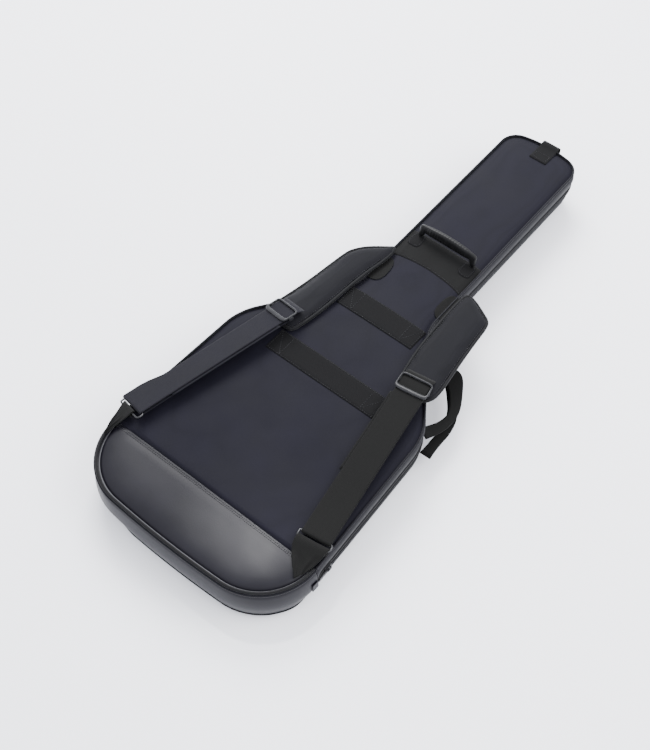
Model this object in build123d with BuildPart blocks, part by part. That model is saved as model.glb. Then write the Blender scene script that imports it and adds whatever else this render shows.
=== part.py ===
"""Padded gig bag for a full-size electric guitar, lying on its front with the shoulder straps up.

X runs across the bag, +Y towards the head end, +Z up. The origin is on the resting face, half way
along the bag. Two padded shells meet at a zip half way up the side. The front shell lies on the
floor and carries the leatherette boot that closes the foot. The back shell opens as a lid, which
folds along the boot's seam between the two ends of the zip.
"""
import os

from build123d import *

os.makedirs("parts", exist_ok=True)

# Plan shape, measured from the foot of the bag.
LENGTH = 1045.0
FOOT_HALF_WIDTH = 212.0
FOOT_SAG = 12.0
FOOT_CORNER_RADIUS = 105.0
WAIST_HALF_WIDTH = 196.0
SHOULDER_START = 397.0
SHOULDER_END = 566.0
SHOULDER_OUTER_RADIUS = 110.0
SHOULDER_INNER_RADIUS = 90.0
NECK_HALF_WIDTH = 76.0
HEAD_RISE = 13.0
HEAD_CORNER_RADIUS = 35.0
BOOT_HEIGHT = 110.0

# Layers, from the floor up.
THICKNESS = 85.0
POCKET_DEPTH = 12.0
FABRIC = 1.5
FOAM_BASE = 9.0
FOAM_WALL = 8.0
LINING = 1.0
ZIP_HEIGHT = 46.0
ZIP_GAP = 0.3
ZIP_TAPE_WIDTH = 9.7
FOAM_GAP = 0.5
LID_GAP = 0.4
PIPING_OUTSET = 1.5
PIPING_INSET = 2.5
PIPING_HEIGHT = 3.5

# Hardware and webbing.
WEBBING_WIDTH = 50.0
WEBBING_HALF = WEBBING_WIDTH / 2
BAND_WIDTH = 45.0
BAND_THICKNESS = 1.5
LAYER = 2.0
RING_BAR = 3.4
CLEARANCE = 0.3


def from_foot(distance):
    """Y of a place given by its distance from the foot of the bag."""
    return distance - LENGTH / 2


BOOT_Y = from_foot(BOOT_HEIGHT)
LID_Y = BOOT_Y + LID_GAP
FOOT_Y = from_foot(0)
HEAD_Y = from_foot(LENGTH)
PANEL_TOP = THICKNESS
PANEL_BOTTOM = THICKNESS - FABRIC
FRONT_SKIN_TOP = POCKET_DEPTH + FABRIC
FRONT_FOAM_TOP = FRONT_SKIN_TOP + FOAM_BASE
FRONT_LINING_TOP = FRONT_FOAM_TOP + LINING
BACK_FOAM_BOTTOM = PANEL_BOTTOM - FOAM_BASE
BACK_LINING_BOTTOM = BACK_FOAM_BOTTOM - LINING
LINING_INSET = FABRIC + FOAM_WALL


def write(builder, name):
    """Label a finished piece and write it to its own file."""
    builder.part.label = name
    export_step(builder.part, f"parts/{name}.step")


def bag_outline(inset=0.0):
    """Plan shape of the bag, pulled in by inset."""
    foot_side = from_foot(FOOT_SAG)
    head_side = from_foot(LENGTH - HEAD_RISE)
    waist = from_foot(SHOULDER_START)
    neck = from_foot(SHOULDER_END)
    with BuildSketch() as plan:
        with BuildLine():
            ThreePointArc((-FOOT_HALF_WIDTH, foot_side), (0, FOOT_Y), (FOOT_HALF_WIDTH, foot_side))
            Polyline(
                (FOOT_HALF_WIDTH, foot_side),
                (WAIST_HALF_WIDTH, waist),
                (NECK_HALF_WIDTH, neck),
                (NECK_HALF_WIDTH, head_side),
            )
            ThreePointArc((NECK_HALF_WIDTH, head_side), (0, HEAD_Y), (-NECK_HALF_WIDTH, head_side))
            Polyline(
                (-NECK_HALF_WIDTH, head_side),
                (-NECK_HALF_WIDTH, neck),
                (-WAIST_HALF_WIDTH, waist),
                (-FOOT_HALF_WIDTH, foot_side),
            )
        make_face()
        for corner_y, radius in (
            (foot_side, FOOT_CORNER_RADIUS),
            (waist, SHOULDER_OUTER_RADIUS),
            (neck, SHOULDER_INNER_RADIUS),
            (head_side, HEAD_CORNER_RADIUS),
        ):
            fillet(plan.vertices().filter_by_position(Axis.Y, corner_y - 1, corner_y + 1), radius=radius)
        if inset:
            offset(amount=-inset)
    return plan.sketch


def area_plan(inset, low=-LENGTH, high=LENGTH):
    """Plan shape pulled in by inset, kept between two cross lines."""
    with BuildSketch() as plan:
        add(bag_outline(inset))
        with Locations((0, (low + high) / 2)):
            Rectangle(LENGTH, high - low, mode=Mode.INTERSECT)
    return plan.sketch


def wall_plan(inset, thickness, low=-LENGTH, high=LENGTH):
    """Plan of a wall that follows the bag's edge, kept between two cross lines."""
    with BuildSketch() as plan:
        add(bag_outline(inset))
        add(bag_outline(inset + thickness), mode=Mode.SUBTRACT)
        with Locations((0, (low + high) / 2)):
            Rectangle(LENGTH, high - low, mode=Mode.INTERSECT)
    return plan.sketch


# ---------------------------------------------------------------- back shell, the lid

with BuildPart() as back_panel:
    with BuildSketch(Plane.XY.offset(PANEL_BOTTOM)):
        add(area_plan(PIPING_INSET, low=LID_Y))
    extrude(amount=FABRIC)
write(back_panel, "back_panel")

with BuildPart() as back_foam:
    with BuildSketch(Plane.XY.offset(BACK_FOAM_BOTTOM)):
        add(area_plan(FABRIC, low=LID_Y))
    extrude(amount=FOAM_BASE)
    with BuildSketch(Plane.XY.offset(ZIP_HEIGHT + FOAM_GAP)):
        add(wall_plan(FABRIC, FOAM_WALL, low=LID_Y))
    extrude(amount=BACK_FOAM_BOTTOM - ZIP_HEIGHT - FOAM_GAP)
write(back_foam, "back_foam")

with BuildPart() as back_lining:
    with BuildSketch(Plane.XY.offset(BACK_LINING_BOTTOM)):
        add(area_plan(LINING_INSET, low=LID_Y))
    extrude(amount=LINING)
    with BuildSketch(Plane.XY.offset(ZIP_HEIGHT + FOAM_GAP)):
        add(wall_plan(LINING_INSET, LINING, low=LID_Y))
    extrude(amount=BACK_LINING_BOTTOM - ZIP_HEIGHT - FOAM_GAP)
write(back_lining, "back_lining")

with BuildPart() as back_zip_tape:
    with BuildSketch(Plane.XY.offset(ZIP_HEIGHT + ZIP_GAP)):
        add(wall_plan(0, FABRIC, low=LID_Y))
    extrude(amount=ZIP_TAPE_WIDTH)
write(back_zip_tape, "back_zip_tape")

with BuildPart() as back_gusset:
    with BuildSketch(Plane.XY.offset(ZIP_HEIGHT + ZIP_GAP + ZIP_TAPE_WIDTH)):
        add(wall_plan(0, FABRIC, low=LID_Y))
    extrude(amount=PANEL_BOTTOM - ZIP_HEIGHT - ZIP_GAP - ZIP_TAPE_WIDTH)
write(back_gusset, "back_gusset")

with BuildPart() as back_piping:
    with BuildSketch(Plane.XY.offset(PANEL_BOTTOM)):
        add(wall_plan(-PIPING_OUTSET, PIPING_OUTSET + PIPING_INSET, low=LID_Y))
    extrude(amount=PIPING_HEIGHT)
write(back_piping, "back_piping")

# Trim that is sewn on the back panel.
PATCH_LOW = from_foot(660)
PATCH_HIGH = from_foot(726)
PATCH_THICKNESS = 1.0
PATCH_ARC_RISE = 9.0
PATCH_HALF_WIDTH = NECK_HALF_WIDTH - PIPING_INSET - CLEARANCE

with BuildPart() as neck_patch:
    with BuildSketch(Plane.XY.offset(PANEL_TOP)):
        with BuildLine():
            ThreePointArc(
                (-PATCH_HALF_WIDTH, PATCH_LOW),
                (0, PATCH_LOW + PATCH_ARC_RISE),
                (PATCH_HALF_WIDTH, PATCH_LOW),
            )
            Polyline(
                (PATCH_HALF_WIDTH, PATCH_LOW),
                (PATCH_HALF_WIDTH, PATCH_HIGH),
                (-PATCH_HALF_WIDTH, PATCH_HIGH),
                (-PATCH_HALF_WIDTH, PATCH_LOW),
            )
        make_face()
    extrude(amount=PATCH_THICKNESS)
write(neck_patch, "neck_patch")

CROSS_BANDS = {
    "lower_cross_band": (from_foot(391), 110.0),
    "upper_cross_band": (from_foot(538), 78.0),
}

for band_name, (band_y, band_half) in CROSS_BANDS.items():
    with BuildPart() as cross_band:
        with BuildSketch(Plane.XY.offset(PANEL_TOP)):
            with Locations((0, band_y)):
                Rectangle(2 * band_half, BAND_WIDTH)
        extrude(amount=BAND_THICKNESS)
    write(cross_band, band_name)

# Hang loop, from the back panel over the head end and down to the gusset below.
HANG_X = 8.0
HANG_WIDTH = 35.0
HANG_THICKNESS = 1.6
HANG_BEND = 2.5
HANG_ON_PANEL = PANEL_TOP + HANG_THICKNESS / 2 + 0.1
HANG_OVER_PIPING = PANEL_BOTTOM + PIPING_HEIGHT + 1.2
HANG_OUT = HEAD_Y + 8.0
HANG_ON_GUSSET = HEAD_Y + 0.9
# The middle line of the loop's webbing, from its sewn end on the panel to its sewn end on the gusset.
HANG_LINE = [
    (from_foot(1002), HANG_ON_PANEL),
    (from_foot(1030), HANG_ON_PANEL),
    (HEAD_Y - 4, HANG_OVER_PIPING),
    (HANG_OUT, HANG_OVER_PIPING),
    (HANG_OUT, 66),
    (HANG_ON_GUSSET, 62),
    (HANG_ON_GUSSET, 52),
]

with BuildPart() as hang_loop:
    with BuildSketch(Plane.YZ.offset(HANG_X - HANG_WIDTH / 2)):
        with BuildLine():
            FilletPolyline(*HANG_LINE, radius=HANG_BEND)
        trace(line_width=HANG_THICKNESS)
    extrude(amount=HANG_WIDTH)
write(hang_loop, "hang_loop")

# Carry handle: a moulded grip that folds about its two sewn end tabs.
HANDLE_Y = from_foot(722)
HANDLE_PIVOT_Z = 92.5
HANDLE_LEAN = 13.0
HANDLE_HALF = 60.0
HANDLE_THICKNESS = 8.0
HANDLE_END_ROUND = 3.9
HANDLE_TOP = 27.0
HANDLE_SHOULDER = 14.0
HANDLE_TAB_X = 54.0
HANDLE_TAB_DROP = 12.0
HANDLE_TAB_WIDTH = 26.0
HANDLE_TAB_LENGTH = 30.0
HANDLE_TAB_THICKNESS = 2.0
HANDLE_TAB_CORNER = 8.0
# The grip's lower edge, from one end to the other, with the finger gap between its two legs.
HANDLE_UNDERSIDE = [(60, -4), (47, -4), (47, 9), (40, 13), (-40, 13), (-47, 9), (-47, -4), (-60, -4)]

HANDLE_PLANE = Plane((0, HANDLE_Y, HANDLE_PIVOT_Z), x_dir=(1, 0, 0), z_dir=(0, -1, 0))
HANDLE_PLANE = HANDLE_PLANE.rotated((-HANDLE_LEAN, 0, 0))

with BuildPart() as carry_handle:
    with BuildSketch(HANDLE_PLANE):
        with BuildLine():
            ThreePointArc(
                (-HANDLE_HALF, HANDLE_SHOULDER),
                (0, HANDLE_TOP),
                (HANDLE_HALF, HANDLE_SHOULDER),
            )
            Polyline(
                (HANDLE_HALF, HANDLE_SHOULDER),
                *HANDLE_UNDERSIDE,
                (-HANDLE_HALF, HANDLE_SHOULDER),
            )
        make_face()
    extrude(amount=HANDLE_THICKNESS / 2, both=True)
    handle_rise = Axis(HANDLE_PLANE.origin, HANDLE_PLANE.y_dir)
    fillet(carry_handle.edges().filter_by(Axis.X).group_by(handle_rise)[0], radius=HANDLE_END_ROUND)
write(carry_handle, "carry_handle")

with BuildPart() as carry_handle_tabs:
    with BuildSketch(Plane.XY.offset(PANEL_TOP + PATCH_THICKNESS)):
        with Locations(
            (-HANDLE_TAB_X, HANDLE_Y - HANDLE_TAB_DROP),
            (HANDLE_TAB_X, HANDLE_Y - HANDLE_TAB_DROP),
        ):
            RectangleRounded(HANDLE_TAB_WIDTH, HANDLE_TAB_LENGTH, HANDLE_TAB_CORNER)
    extrude(amount=HANDLE_TAB_THICKNESS)
write(carry_handle_tabs, "carry_handle_tabs")

# Shoulder straps. Each lies along a line from its buckle to its ring, a little lower at the ring.
PAD_BOTTOM = PANEL_TOP + 4.1
PAD_THICKNESS = 12.0
ANCHOR_LIFT = 2.3
RING_LENGTH = 21.4
RING_WIDTH = 61.0
RING_CORNER = 3.0
TRIGLIDE_LENGTH = 35.0
TRIGLIDE_WIDTH = 59.0
END_BAR = 7.0
END_BAR_HEIGHT = 3.2
MID_BAR = 8.0
MID_BAR_HEIGHT = 2.4
SIDE_BAR = 4.0
TAB_WIDTH = 40.0
TAB_WRAP_RADIUS = 4.2
TAB_END = 2.0
TAB_END_LEVEL = -8.2
TAB_BAR_GAP = 0.15
# Levels across the webbing, measured from the middle of its upper layer.
BAR_LEVEL = -2.8
MID_BAR_LEVEL = -4.0
END_BAR_LEVEL = 1.5

PAD_RELIEF_LEVEL = -4.4
PAD_RELIEF_REACH = 300.0
PAD_RELIEF_HEIGHT = 40.0

# Outlines are (x, distance from the foot). The left strap rolls over the bag's edge.
STRAPS = {
    "right": {
        "buckle": Vector(133, from_foot(452), 106),
        "ring": Vector(178.5, from_foot(148), 97.5),
        "roll": 0,
        "tab_length": 17,
        "pad": [
            (86, 655), (132, 656), (149, 641), (156, 600), (160, 558), (166, 510), (170, 470),
            (160, 440), (112, 440), (98, 455), (94, 484), (87, 523), (85, 560),
        ],
        "anchor": [(50, 596), (50, 648), (106, 650), (106, 600)],
    },
    "left": {
        "buckle": Vector(-128, from_foot(433.5), 106),
        "ring": Vector(-192.4, from_foot(150.3), 100.1),
        "roll": 15,
        "tab_length": 8,
        "pad": [
            (-70, 670), (-80, 662), (-98, 648), (-116, 632), (-128, 616), (-138, 571), (-156, 473), (-166, 432),
            (-158, 425), (-104, 413.5), (-94, 420), (-86, 453), (-77, 550), (-70, 600), (-62, 640),
        ],
        "anchor": [(-50, 596), (-50, 648), (-100, 640), (-112, 604)],
    },
}

for side, strap in STRAPS.items():
    run = strap["ring"] - strap["buckle"]
    reach = run.length
    across = Vector(0, 0, 1).cross(run)
    # Local frame of a strap: x along it to the ring, y across it, z out of the webbing's face.
    facing = run.cross(across).rotate(Axis(strap["buckle"], run), strap["roll"])
    lie = Plane(strap["buckle"], x_dir=run, z_dir=facing)
    profile = Plane(strap["buckle"], x_dir=run, z_dir=run.cross(lie.z_dir))

    with BuildPart() as pad:
        with BuildSketch(Plane.XY.offset(PAD_BOTTOM)) as pad_plan:
            with BuildLine():
                Polyline(*[(x, from_foot(y)) for x, y in strap["pad"]], close=True)
            make_face()
        extrude(amount=PAD_THICKNESS)
        # The pad's top stays below the buckle.
        with BuildSketch(lie.offset(PAD_RELIEF_LEVEL)):
            Rectangle(2 * PAD_RELIEF_REACH, 2 * PAD_RELIEF_REACH)
        extrude(amount=PAD_RELIEF_HEIGHT, mode=Mode.SUBTRACT)
    write(pad, f"{side}_strap_pad")

    with BuildPart() as anchor:
        with BuildSketch(Plane.XY.offset(PANEL_TOP + ANCHOR_LIFT)):
            with BuildLine():
                Polyline(*[(x, from_foot(y)) for x, y in strap["anchor"]], close=True)
            make_face()
        extrude(amount=BAND_THICKNESS)
    write(anchor, f"{side}_strap_anchor")

    # The webbing runs down through the buckle, round the ring's upper bar and back underneath.
    with BuildPart() as webbing:
        with BuildSketch(profile):
            with BuildLine():
                Line((-TRIGLIDE_LENGTH / 2, 0), (reach, 0))
                ThreePointArc((reach, 0), (reach - BAR_LEVEL, BAR_LEVEL), (reach, 2 * BAR_LEVEL))
                Line((reach, 2 * BAR_LEVEL), (TRIGLIDE_LENGTH / 2, 2 * BAR_LEVEL))
            trace(line_width=LAYER)
        extrude(amount=WEBBING_HALF, both=True)
    write(webbing, f"{side}_strap_webbing")

    # The buckle's outer bars lie over the upper layer, and its middle bar lies under it.
    with BuildPart() as triglide:
        with BuildSketch(lie.offset(END_BAR_LEVEL)):
            with GridLocations(TRIGLIDE_LENGTH - END_BAR, 1, 2, 1):
                Rectangle(END_BAR, TRIGLIDE_WIDTH)
        extrude(amount=END_BAR_HEIGHT)
        with BuildSketch(lie.offset(MID_BAR_LEVEL)):
            with GridLocations(1, TRIGLIDE_WIDTH - SIDE_BAR, 1, 2):
                Rectangle(TRIGLIDE_LENGTH, SIDE_BAR)
        extrude(amount=END_BAR_LEVEL + END_BAR_HEIGHT - MID_BAR_LEVEL)
        with BuildSketch(lie.offset(MID_BAR_LEVEL)):
            Rectangle(MID_BAR, TRIGLIDE_WIDTH)
        extrude(amount=MID_BAR_HEIGHT)
    write(triglide, f"{side}_triglide")

    ring_far = reach + RING_LENGTH - RING_BAR
    ring_half = (RING_WIDTH - RING_BAR) / 2
    with BuildPart() as ring:
        with BuildLine(lie.offset(BAR_LEVEL)) as ring_path:
            ring_line = FilletPolyline(
                (reach, -ring_half),
                (reach, ring_half),
                (ring_far, ring_half),
                (ring_far, -ring_half),
                radius=RING_CORNER,
                close=True,
            )
        with BuildSketch(Plane(ring_line @ 0, z_dir=ring_line % 0)):
            Circle(RING_BAR / 2)
        sweep(path=ring_path.wire())
    write(ring, f"{side}_ring")

    # The anchor tab wraps the ring's lower bar and is sewn down at the boot's seam.
    with BuildPart() as anchor_tab:
        with BuildSketch(profile):
            with Locations((ring_far, BAR_LEVEL)):
                Circle(TAB_WRAP_RADIUS)
            with Locations((ring_far + strap["tab_length"], TAB_END_LEVEL)):
                Rectangle(TAB_END, TAB_END)
            make_hull()
            with Locations((ring_far, BAR_LEVEL)):
                Circle(RING_BAR / 2 + TAB_BAR_GAP, mode=Mode.SUBTRACT)
        extrude(amount=TAB_WIDTH / 2, both=True)
    write(anchor_tab, f"{side}_anchor_tab")

# ---------------------------------------------------------------- front shell, lying on the floor

TAPE = 1.0
ZIP_END_TAB = 12.0
BODY_POCKET_INSET = 22.0
BODY_POCKET_LOW = from_foot(35)
BODY_POCKET_HIGH = from_foot(550)
BODY_TAPE_LOW = from_foot(130)
BODY_TAPE_HIGH = from_foot(385)
NECK_POCKET_HALF = 58.0
NECK_POCKET_LOW = from_foot(640)
NECK_POCKET_HIGH = from_foot(980)
NECK_POCKET_CORNER = 12.0
POCKET_TAPE_BOTTOM = 2.0
POCKET_TAPE_WIDTH = 9.0
PIN_PAD_THICKNESS = 2.0
PIN_PAD_WIDTH = 110.0
NECK_REST_Y = from_foot(685)
NECK_REST_LENGTH = 55.0
NECK_REST_HALF = 58.0
NECK_REST_TOP = 52.0
NECK_GROOVE_WIDTH = 66.0
NECK_GROOVE_DEPTH = 16.0
NECK_GROOVE_CORNER = 8.0
NECK_STRAP_WIDTH = 38.0
NECK_STRAP_BOTTOM = 30.0

with BuildPart() as front_panel:
    with BuildSketch(Plane.XY.offset(POCKET_DEPTH)):
        add(bag_outline(PIPING_INSET))
    extrude(amount=FABRIC)
write(front_panel, "front_panel")

with BuildPart() as front_foam:
    with BuildSketch(Plane.XY.offset(FRONT_SKIN_TOP)):
        add(bag_outline(FABRIC))
    extrude(amount=FOAM_BASE)
    with BuildSketch(Plane.XY.offset(FRONT_FOAM_TOP)):
        add(wall_plan(FABRIC, FOAM_WALL))
    extrude(amount=ZIP_HEIGHT - FOAM_GAP - FRONT_FOAM_TOP)
write(front_foam, "front_foam")

with BuildPart() as front_lining:
    with BuildSketch(Plane.XY.offset(FRONT_FOAM_TOP)):
        add(bag_outline(LINING_INSET))
    extrude(amount=LINING)
    with BuildSketch(Plane.XY.offset(FRONT_LINING_TOP)):
        add(wall_plan(LINING_INSET, LINING))
    extrude(amount=ZIP_HEIGHT - FOAM_GAP - FRONT_LINING_TOP)
write(front_lining, "front_lining")

with BuildPart() as front_gusset:
    with BuildSketch(Plane.XY.offset(FRONT_SKIN_TOP)):
        add(wall_plan(0, FABRIC, low=BOOT_Y))
    extrude(amount=ZIP_HEIGHT - ZIP_GAP - ZIP_TAPE_WIDTH - FRONT_SKIN_TOP)
write(front_gusset, "front_gusset")

with BuildPart() as front_zip_tape:
    with BuildSketch(Plane.XY.offset(ZIP_HEIGHT - ZIP_GAP - ZIP_TAPE_WIDTH)):
        add(wall_plan(0, FABRIC, low=BOOT_Y))
    extrude(amount=ZIP_TAPE_WIDTH)
write(front_zip_tape, "front_zip_tape")

with BuildPart() as front_piping:
    with BuildSketch(Plane.XY.offset(FRONT_SKIN_TOP - PIPING_HEIGHT)):
        add(wall_plan(-PIPING_OUTSET, PIPING_OUTSET + PIPING_INSET))
    extrude(amount=PIPING_HEIGHT)
write(front_piping, "front_piping")

with BuildPart() as zip_end_tabs:
    with BuildSketch(Plane.XY.offset(ZIP_HEIGHT - ZIP_TAPE_WIDTH)):
        add(wall_plan(-TAPE, TAPE - CLEARANCE, low=BOOT_Y - ZIP_END_TAB, high=BOOT_Y))
    extrude(amount=2 * ZIP_TAPE_WIDTH)
write(zip_end_tabs, "zip_end_tabs")

# The boot closes the foot of the bag from the front panel to the back panel.
with BuildPart() as boot_panel:
    with BuildSketch(Plane.XY.offset(PANEL_BOTTOM)):
        add(area_plan(PIPING_INSET, high=BOOT_Y))
    extrude(amount=FABRIC)
write(boot_panel, "boot_panel")

with BuildPart() as boot_gusset:
    with BuildSketch(Plane.XY.offset(FRONT_SKIN_TOP)):
        add(wall_plan(0, FABRIC, high=BOOT_Y))
    extrude(amount=PANEL_BOTTOM - FRONT_SKIN_TOP)
write(boot_gusset, "boot_gusset")

with BuildPart() as boot_piping:
    with BuildSketch(Plane.XY.offset(PANEL_BOTTOM)):
        add(wall_plan(-PIPING_OUTSET, PIPING_OUTSET + PIPING_INSET, high=BOOT_Y))
    extrude(amount=PIPING_HEIGHT)
write(boot_piping, "boot_piping")

with BuildPart() as boot_foam:
    with BuildSketch(Plane.XY.offset(BACK_FOAM_BOTTOM)):
        add(area_plan(FABRIC, high=BOOT_Y))
    extrude(amount=FOAM_BASE)
    with BuildSketch(Plane.XY.offset(ZIP_HEIGHT - FOAM_GAP)):
        add(wall_plan(FABRIC, FOAM_WALL, high=BOOT_Y))
    extrude(amount=BACK_FOAM_BOTTOM - ZIP_HEIGHT + FOAM_GAP)
write(boot_foam, "boot_foam")

with BuildPart() as boot_lining:
    with BuildSketch(Plane.XY.offset(BACK_LINING_BOTTOM)):
        add(area_plan(LINING_INSET, high=BOOT_Y))
    extrude(amount=LINING)
    with BuildSketch(Plane.XY.offset(ZIP_HEIGHT - FOAM_GAP)):
        add(wall_plan(LINING_INSET, LINING, high=BOOT_Y))
    extrude(amount=BACK_LINING_BOTTOM - ZIP_HEIGHT + FOAM_GAP)
write(boot_lining, "boot_lining")

# Front pockets, one on the body and one on the neck.
with BuildPart() as body_pocket_panel:
    with BuildSketch():
        add(area_plan(BODY_POCKET_INSET, BODY_POCKET_LOW, BODY_POCKET_HIGH))
    extrude(amount=FABRIC)
write(body_pocket_panel, "body_pocket_panel")

with BuildPart() as body_pocket_gusset:
    with BuildSketch(Plane.XY.offset(FABRIC)) as body_pocket_wall:
        add(area_plan(BODY_POCKET_INSET, BODY_POCKET_LOW, BODY_POCKET_HIGH))
        with BuildSketch(mode=Mode.PRIVATE) as body_pocket_inside:
            add(area_plan(BODY_POCKET_INSET, BODY_POCKET_LOW, BODY_POCKET_HIGH))
            offset(amount=-FABRIC)
        add(body_pocket_inside.sketch, mode=Mode.SUBTRACT)
    extrude(amount=POCKET_DEPTH - FABRIC)
write(body_pocket_gusset, "body_pocket_gusset")

with BuildPart() as body_pocket_zip_tape:
    with BuildSketch(Plane.XY.offset(POCKET_TAPE_BOTTOM)):
        add(wall_plan(BODY_POCKET_INSET - TAPE, TAPE, BODY_TAPE_LOW, BODY_TAPE_HIGH))
        with Locations((FOOT_HALF_WIDTH, 0)):
            Rectangle(2 * FOOT_HALF_WIDTH, LENGTH, mode=Mode.INTERSECT)
    extrude(amount=POCKET_TAPE_WIDTH)
write(body_pocket_zip_tape, "body_pocket_zip_tape")

NECK_POCKET_CENTRE = (0, (NECK_POCKET_LOW + NECK_POCKET_HIGH) / 2)
NECK_POCKET_LENGTH = NECK_POCKET_HIGH - NECK_POCKET_LOW

with BuildPart() as neck_pocket_panel:
    with BuildSketch():
        with Locations(NECK_POCKET_CENTRE):
            RectangleRounded(2 * NECK_POCKET_HALF, NECK_POCKET_LENGTH, NECK_POCKET_CORNER)
    extrude(amount=FABRIC)
write(neck_pocket_panel, "neck_pocket_panel")

with BuildPart() as neck_pocket_gusset:
    with BuildSketch(Plane.XY.offset(FABRIC)):
        with Locations(NECK_POCKET_CENTRE):
            RectangleRounded(2 * NECK_POCKET_HALF, NECK_POCKET_LENGTH, NECK_POCKET_CORNER)
            RectangleRounded(
                2 * (NECK_POCKET_HALF - FABRIC),
                NECK_POCKET_LENGTH - 2 * FABRIC,
                NECK_POCKET_CORNER - FABRIC,
                mode=Mode.SUBTRACT,
            )
    extrude(amount=POCKET_DEPTH - FABRIC)
write(neck_pocket_gusset, "neck_pocket_gusset")

with BuildPart() as neck_pocket_zip_tape:
    with BuildSketch(Plane.XY.offset(POCKET_TAPE_BOTTOM)):
        with Locations((NECK_POCKET_HALF + TAPE / 2, NECK_POCKET_CENTRE[1])):
            Rectangle(TAPE, NECK_POCKET_LENGTH - 2 * NECK_POCKET_CORNER)
    extrude(amount=POCKET_TAPE_WIDTH)
write(neck_pocket_zip_tape, "neck_pocket_zip_tape")

# Inside the front shell.
with BuildPart() as end_pin_pad:
    with BuildSketch(Plane.XY.offset(FRONT_LINING_TOP)):
        add(wall_plan(LINING_INSET + LINING, PIN_PAD_THICKNESS, high=BOOT_Y))
        with Locations((0, FOOT_Y)):
            Rectangle(PIN_PAD_WIDTH, BOOT_HEIGHT, mode=Mode.INTERSECT)
    extrude(amount=ZIP_HEIGHT - FOAM_GAP - FRONT_LINING_TOP)
write(end_pin_pad, "end_pin_pad")

with BuildPart() as neck_rest:
    with BuildSketch(Plane.XZ.offset(-NECK_REST_Y)):
        with Locations((0, (FRONT_LINING_TOP + NECK_REST_TOP) / 2)):
            Rectangle(2 * NECK_REST_HALF, NECK_REST_TOP - FRONT_LINING_TOP)
        with Locations((0, NECK_REST_TOP)):
            RectangleRounded(
                NECK_GROOVE_WIDTH,
                2 * NECK_GROOVE_DEPTH,
                NECK_GROOVE_CORNER,
                mode=Mode.SUBTRACT,
            )
    extrude(amount=NECK_REST_LENGTH / 2, both=True)
write(neck_rest, "neck_rest")

with BuildPart() as neck_strap:
    with BuildSketch(Plane.XZ.offset(-NECK_REST_Y)):
        strap_half = NECK_REST_HALF + CLEARANCE + LAYER
        strap_top = NECK_REST_TOP + CLEARANCE + LAYER
        with Locations((0, (NECK_STRAP_BOTTOM + strap_top) / 2)):
            Rectangle(2 * strap_half, strap_top - NECK_STRAP_BOTTOM)
        with Locations((0, (NECK_STRAP_BOTTOM + strap_top) / 2 - LAYER)):
            Rectangle(2 * (strap_half - LAYER), strap_top - NECK_STRAP_BOTTOM, mode=Mode.SUBTRACT)
    extrude(amount=NECK_STRAP_WIDTH / 2, both=True)
write(neck_strap, "neck_strap")

# ---------------------------------------------------------------- side handle, one loop on each shell

SIDE_LOOP_GAP = 3.0
SIDE_LOOP_THICKNESS = 3.0
SIDE_LOOP_OFF_WALL = 1.0
shoulder_top = Vector(NECK_HALF_WIDTH, from_foot(SHOULDER_END), 0)
waist_corner = Vector(WAIST_HALF_WIDTH, from_foot(SHOULDER_START), 0)
shoulder_run = (waist_corner - shoulder_top).normalized()
shoulder_out = Vector(0, 0, 1).cross(shoulder_run)
SIDE_LOOP_ROOT = Vector(118, from_foot(506), 0)
# Outline of a loop: distance down the shoulder from its root, then distance out from the wall.
SIDE_LOOP_OUTLINE = [
    (-20, -12), (-20, 46), (-6, 63), (22, 66), (52, 62), (92, 46), (130, 26), (146, 3), (146, -12),
    (120, -12), (120, 3), (112, 12), (84, 24), (50, 38), (22, 42), (10, 38), (4, 28), (4, -12),
]
SIDE_LOOP_LEVELS = {
    "side_handle_back": ZIP_HEIGHT + SIDE_LOOP_GAP,
    "side_handle_front": ZIP_HEIGHT - SIDE_LOOP_GAP - SIDE_LOOP_THICKNESS,
}

for loop_name, loop_level in SIDE_LOOP_LEVELS.items():
    loop_corners = [
        SIDE_LOOP_ROOT + shoulder_run * down + shoulder_out * out for down, out in SIDE_LOOP_OUTLINE
    ]
    with BuildPart() as side_loop:
        with BuildSketch(Plane.XY.offset(loop_level)):
            with BuildLine():
                Polyline(*loop_corners, close=True)
            make_face()
            add(bag_outline(-SIDE_LOOP_OFF_WALL), mode=Mode.SUBTRACT)
        extrude(amount=SIDE_LOOP_THICKNESS)
    write(side_loop, loop_name)

# ---------------------------------------------------------------- zip sliders and their pulls

SLIDER_GAP = 0.8
SLIDER_LENGTH = 16.0
SLIDER_WIDTH = 9.0
SLIDER_HEIGHT = 2.6
BRIDGE_LENGTH = 10.0
BRIDGE_WIDTH = 2.6
BRIDGE_HEIGHT = 3.6
BRIDGE_EYE_LENGTH = 5.6
BRIDGE_EYE_HEIGHT = 2.0
BRIDGE_EYE_LIFT = 0.1
BRIDGE_EYE_ROUND = 0.9
BRIDGE_ROUND = 1.4
BRIDGE_SINK = 0.3
SLIDER_ROUND = 2.5
PIN_RADIUS = 0.7
PULL_WIDTH = 6.4
PULL_ARM = 1.4
PULL_LENGTH = 26.0
PULL_THICKNESS = 1.2
PULL_ROUND = 0.6
PULL_WINDOW_LENGTH = 8.6
PULL_WINDOW_CENTRE = -5.0
foot_corner = Vector(FOOT_HALF_WIDTH, from_foot(FOOT_SAG), 0)
side_run = (waist_corner - foot_corner).normalized()
side_out = side_run.cross(Vector(0, 0, 1))


def on_side(distance, height, outset):
    """A point on the bag's right side wall, at a distance from the foot and an outset from the wall."""
    along = (from_foot(distance) - foot_corner.Y) / side_run.Y
    return foot_corner + side_run * along + side_out * outset + Vector(0, 0, height)


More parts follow.
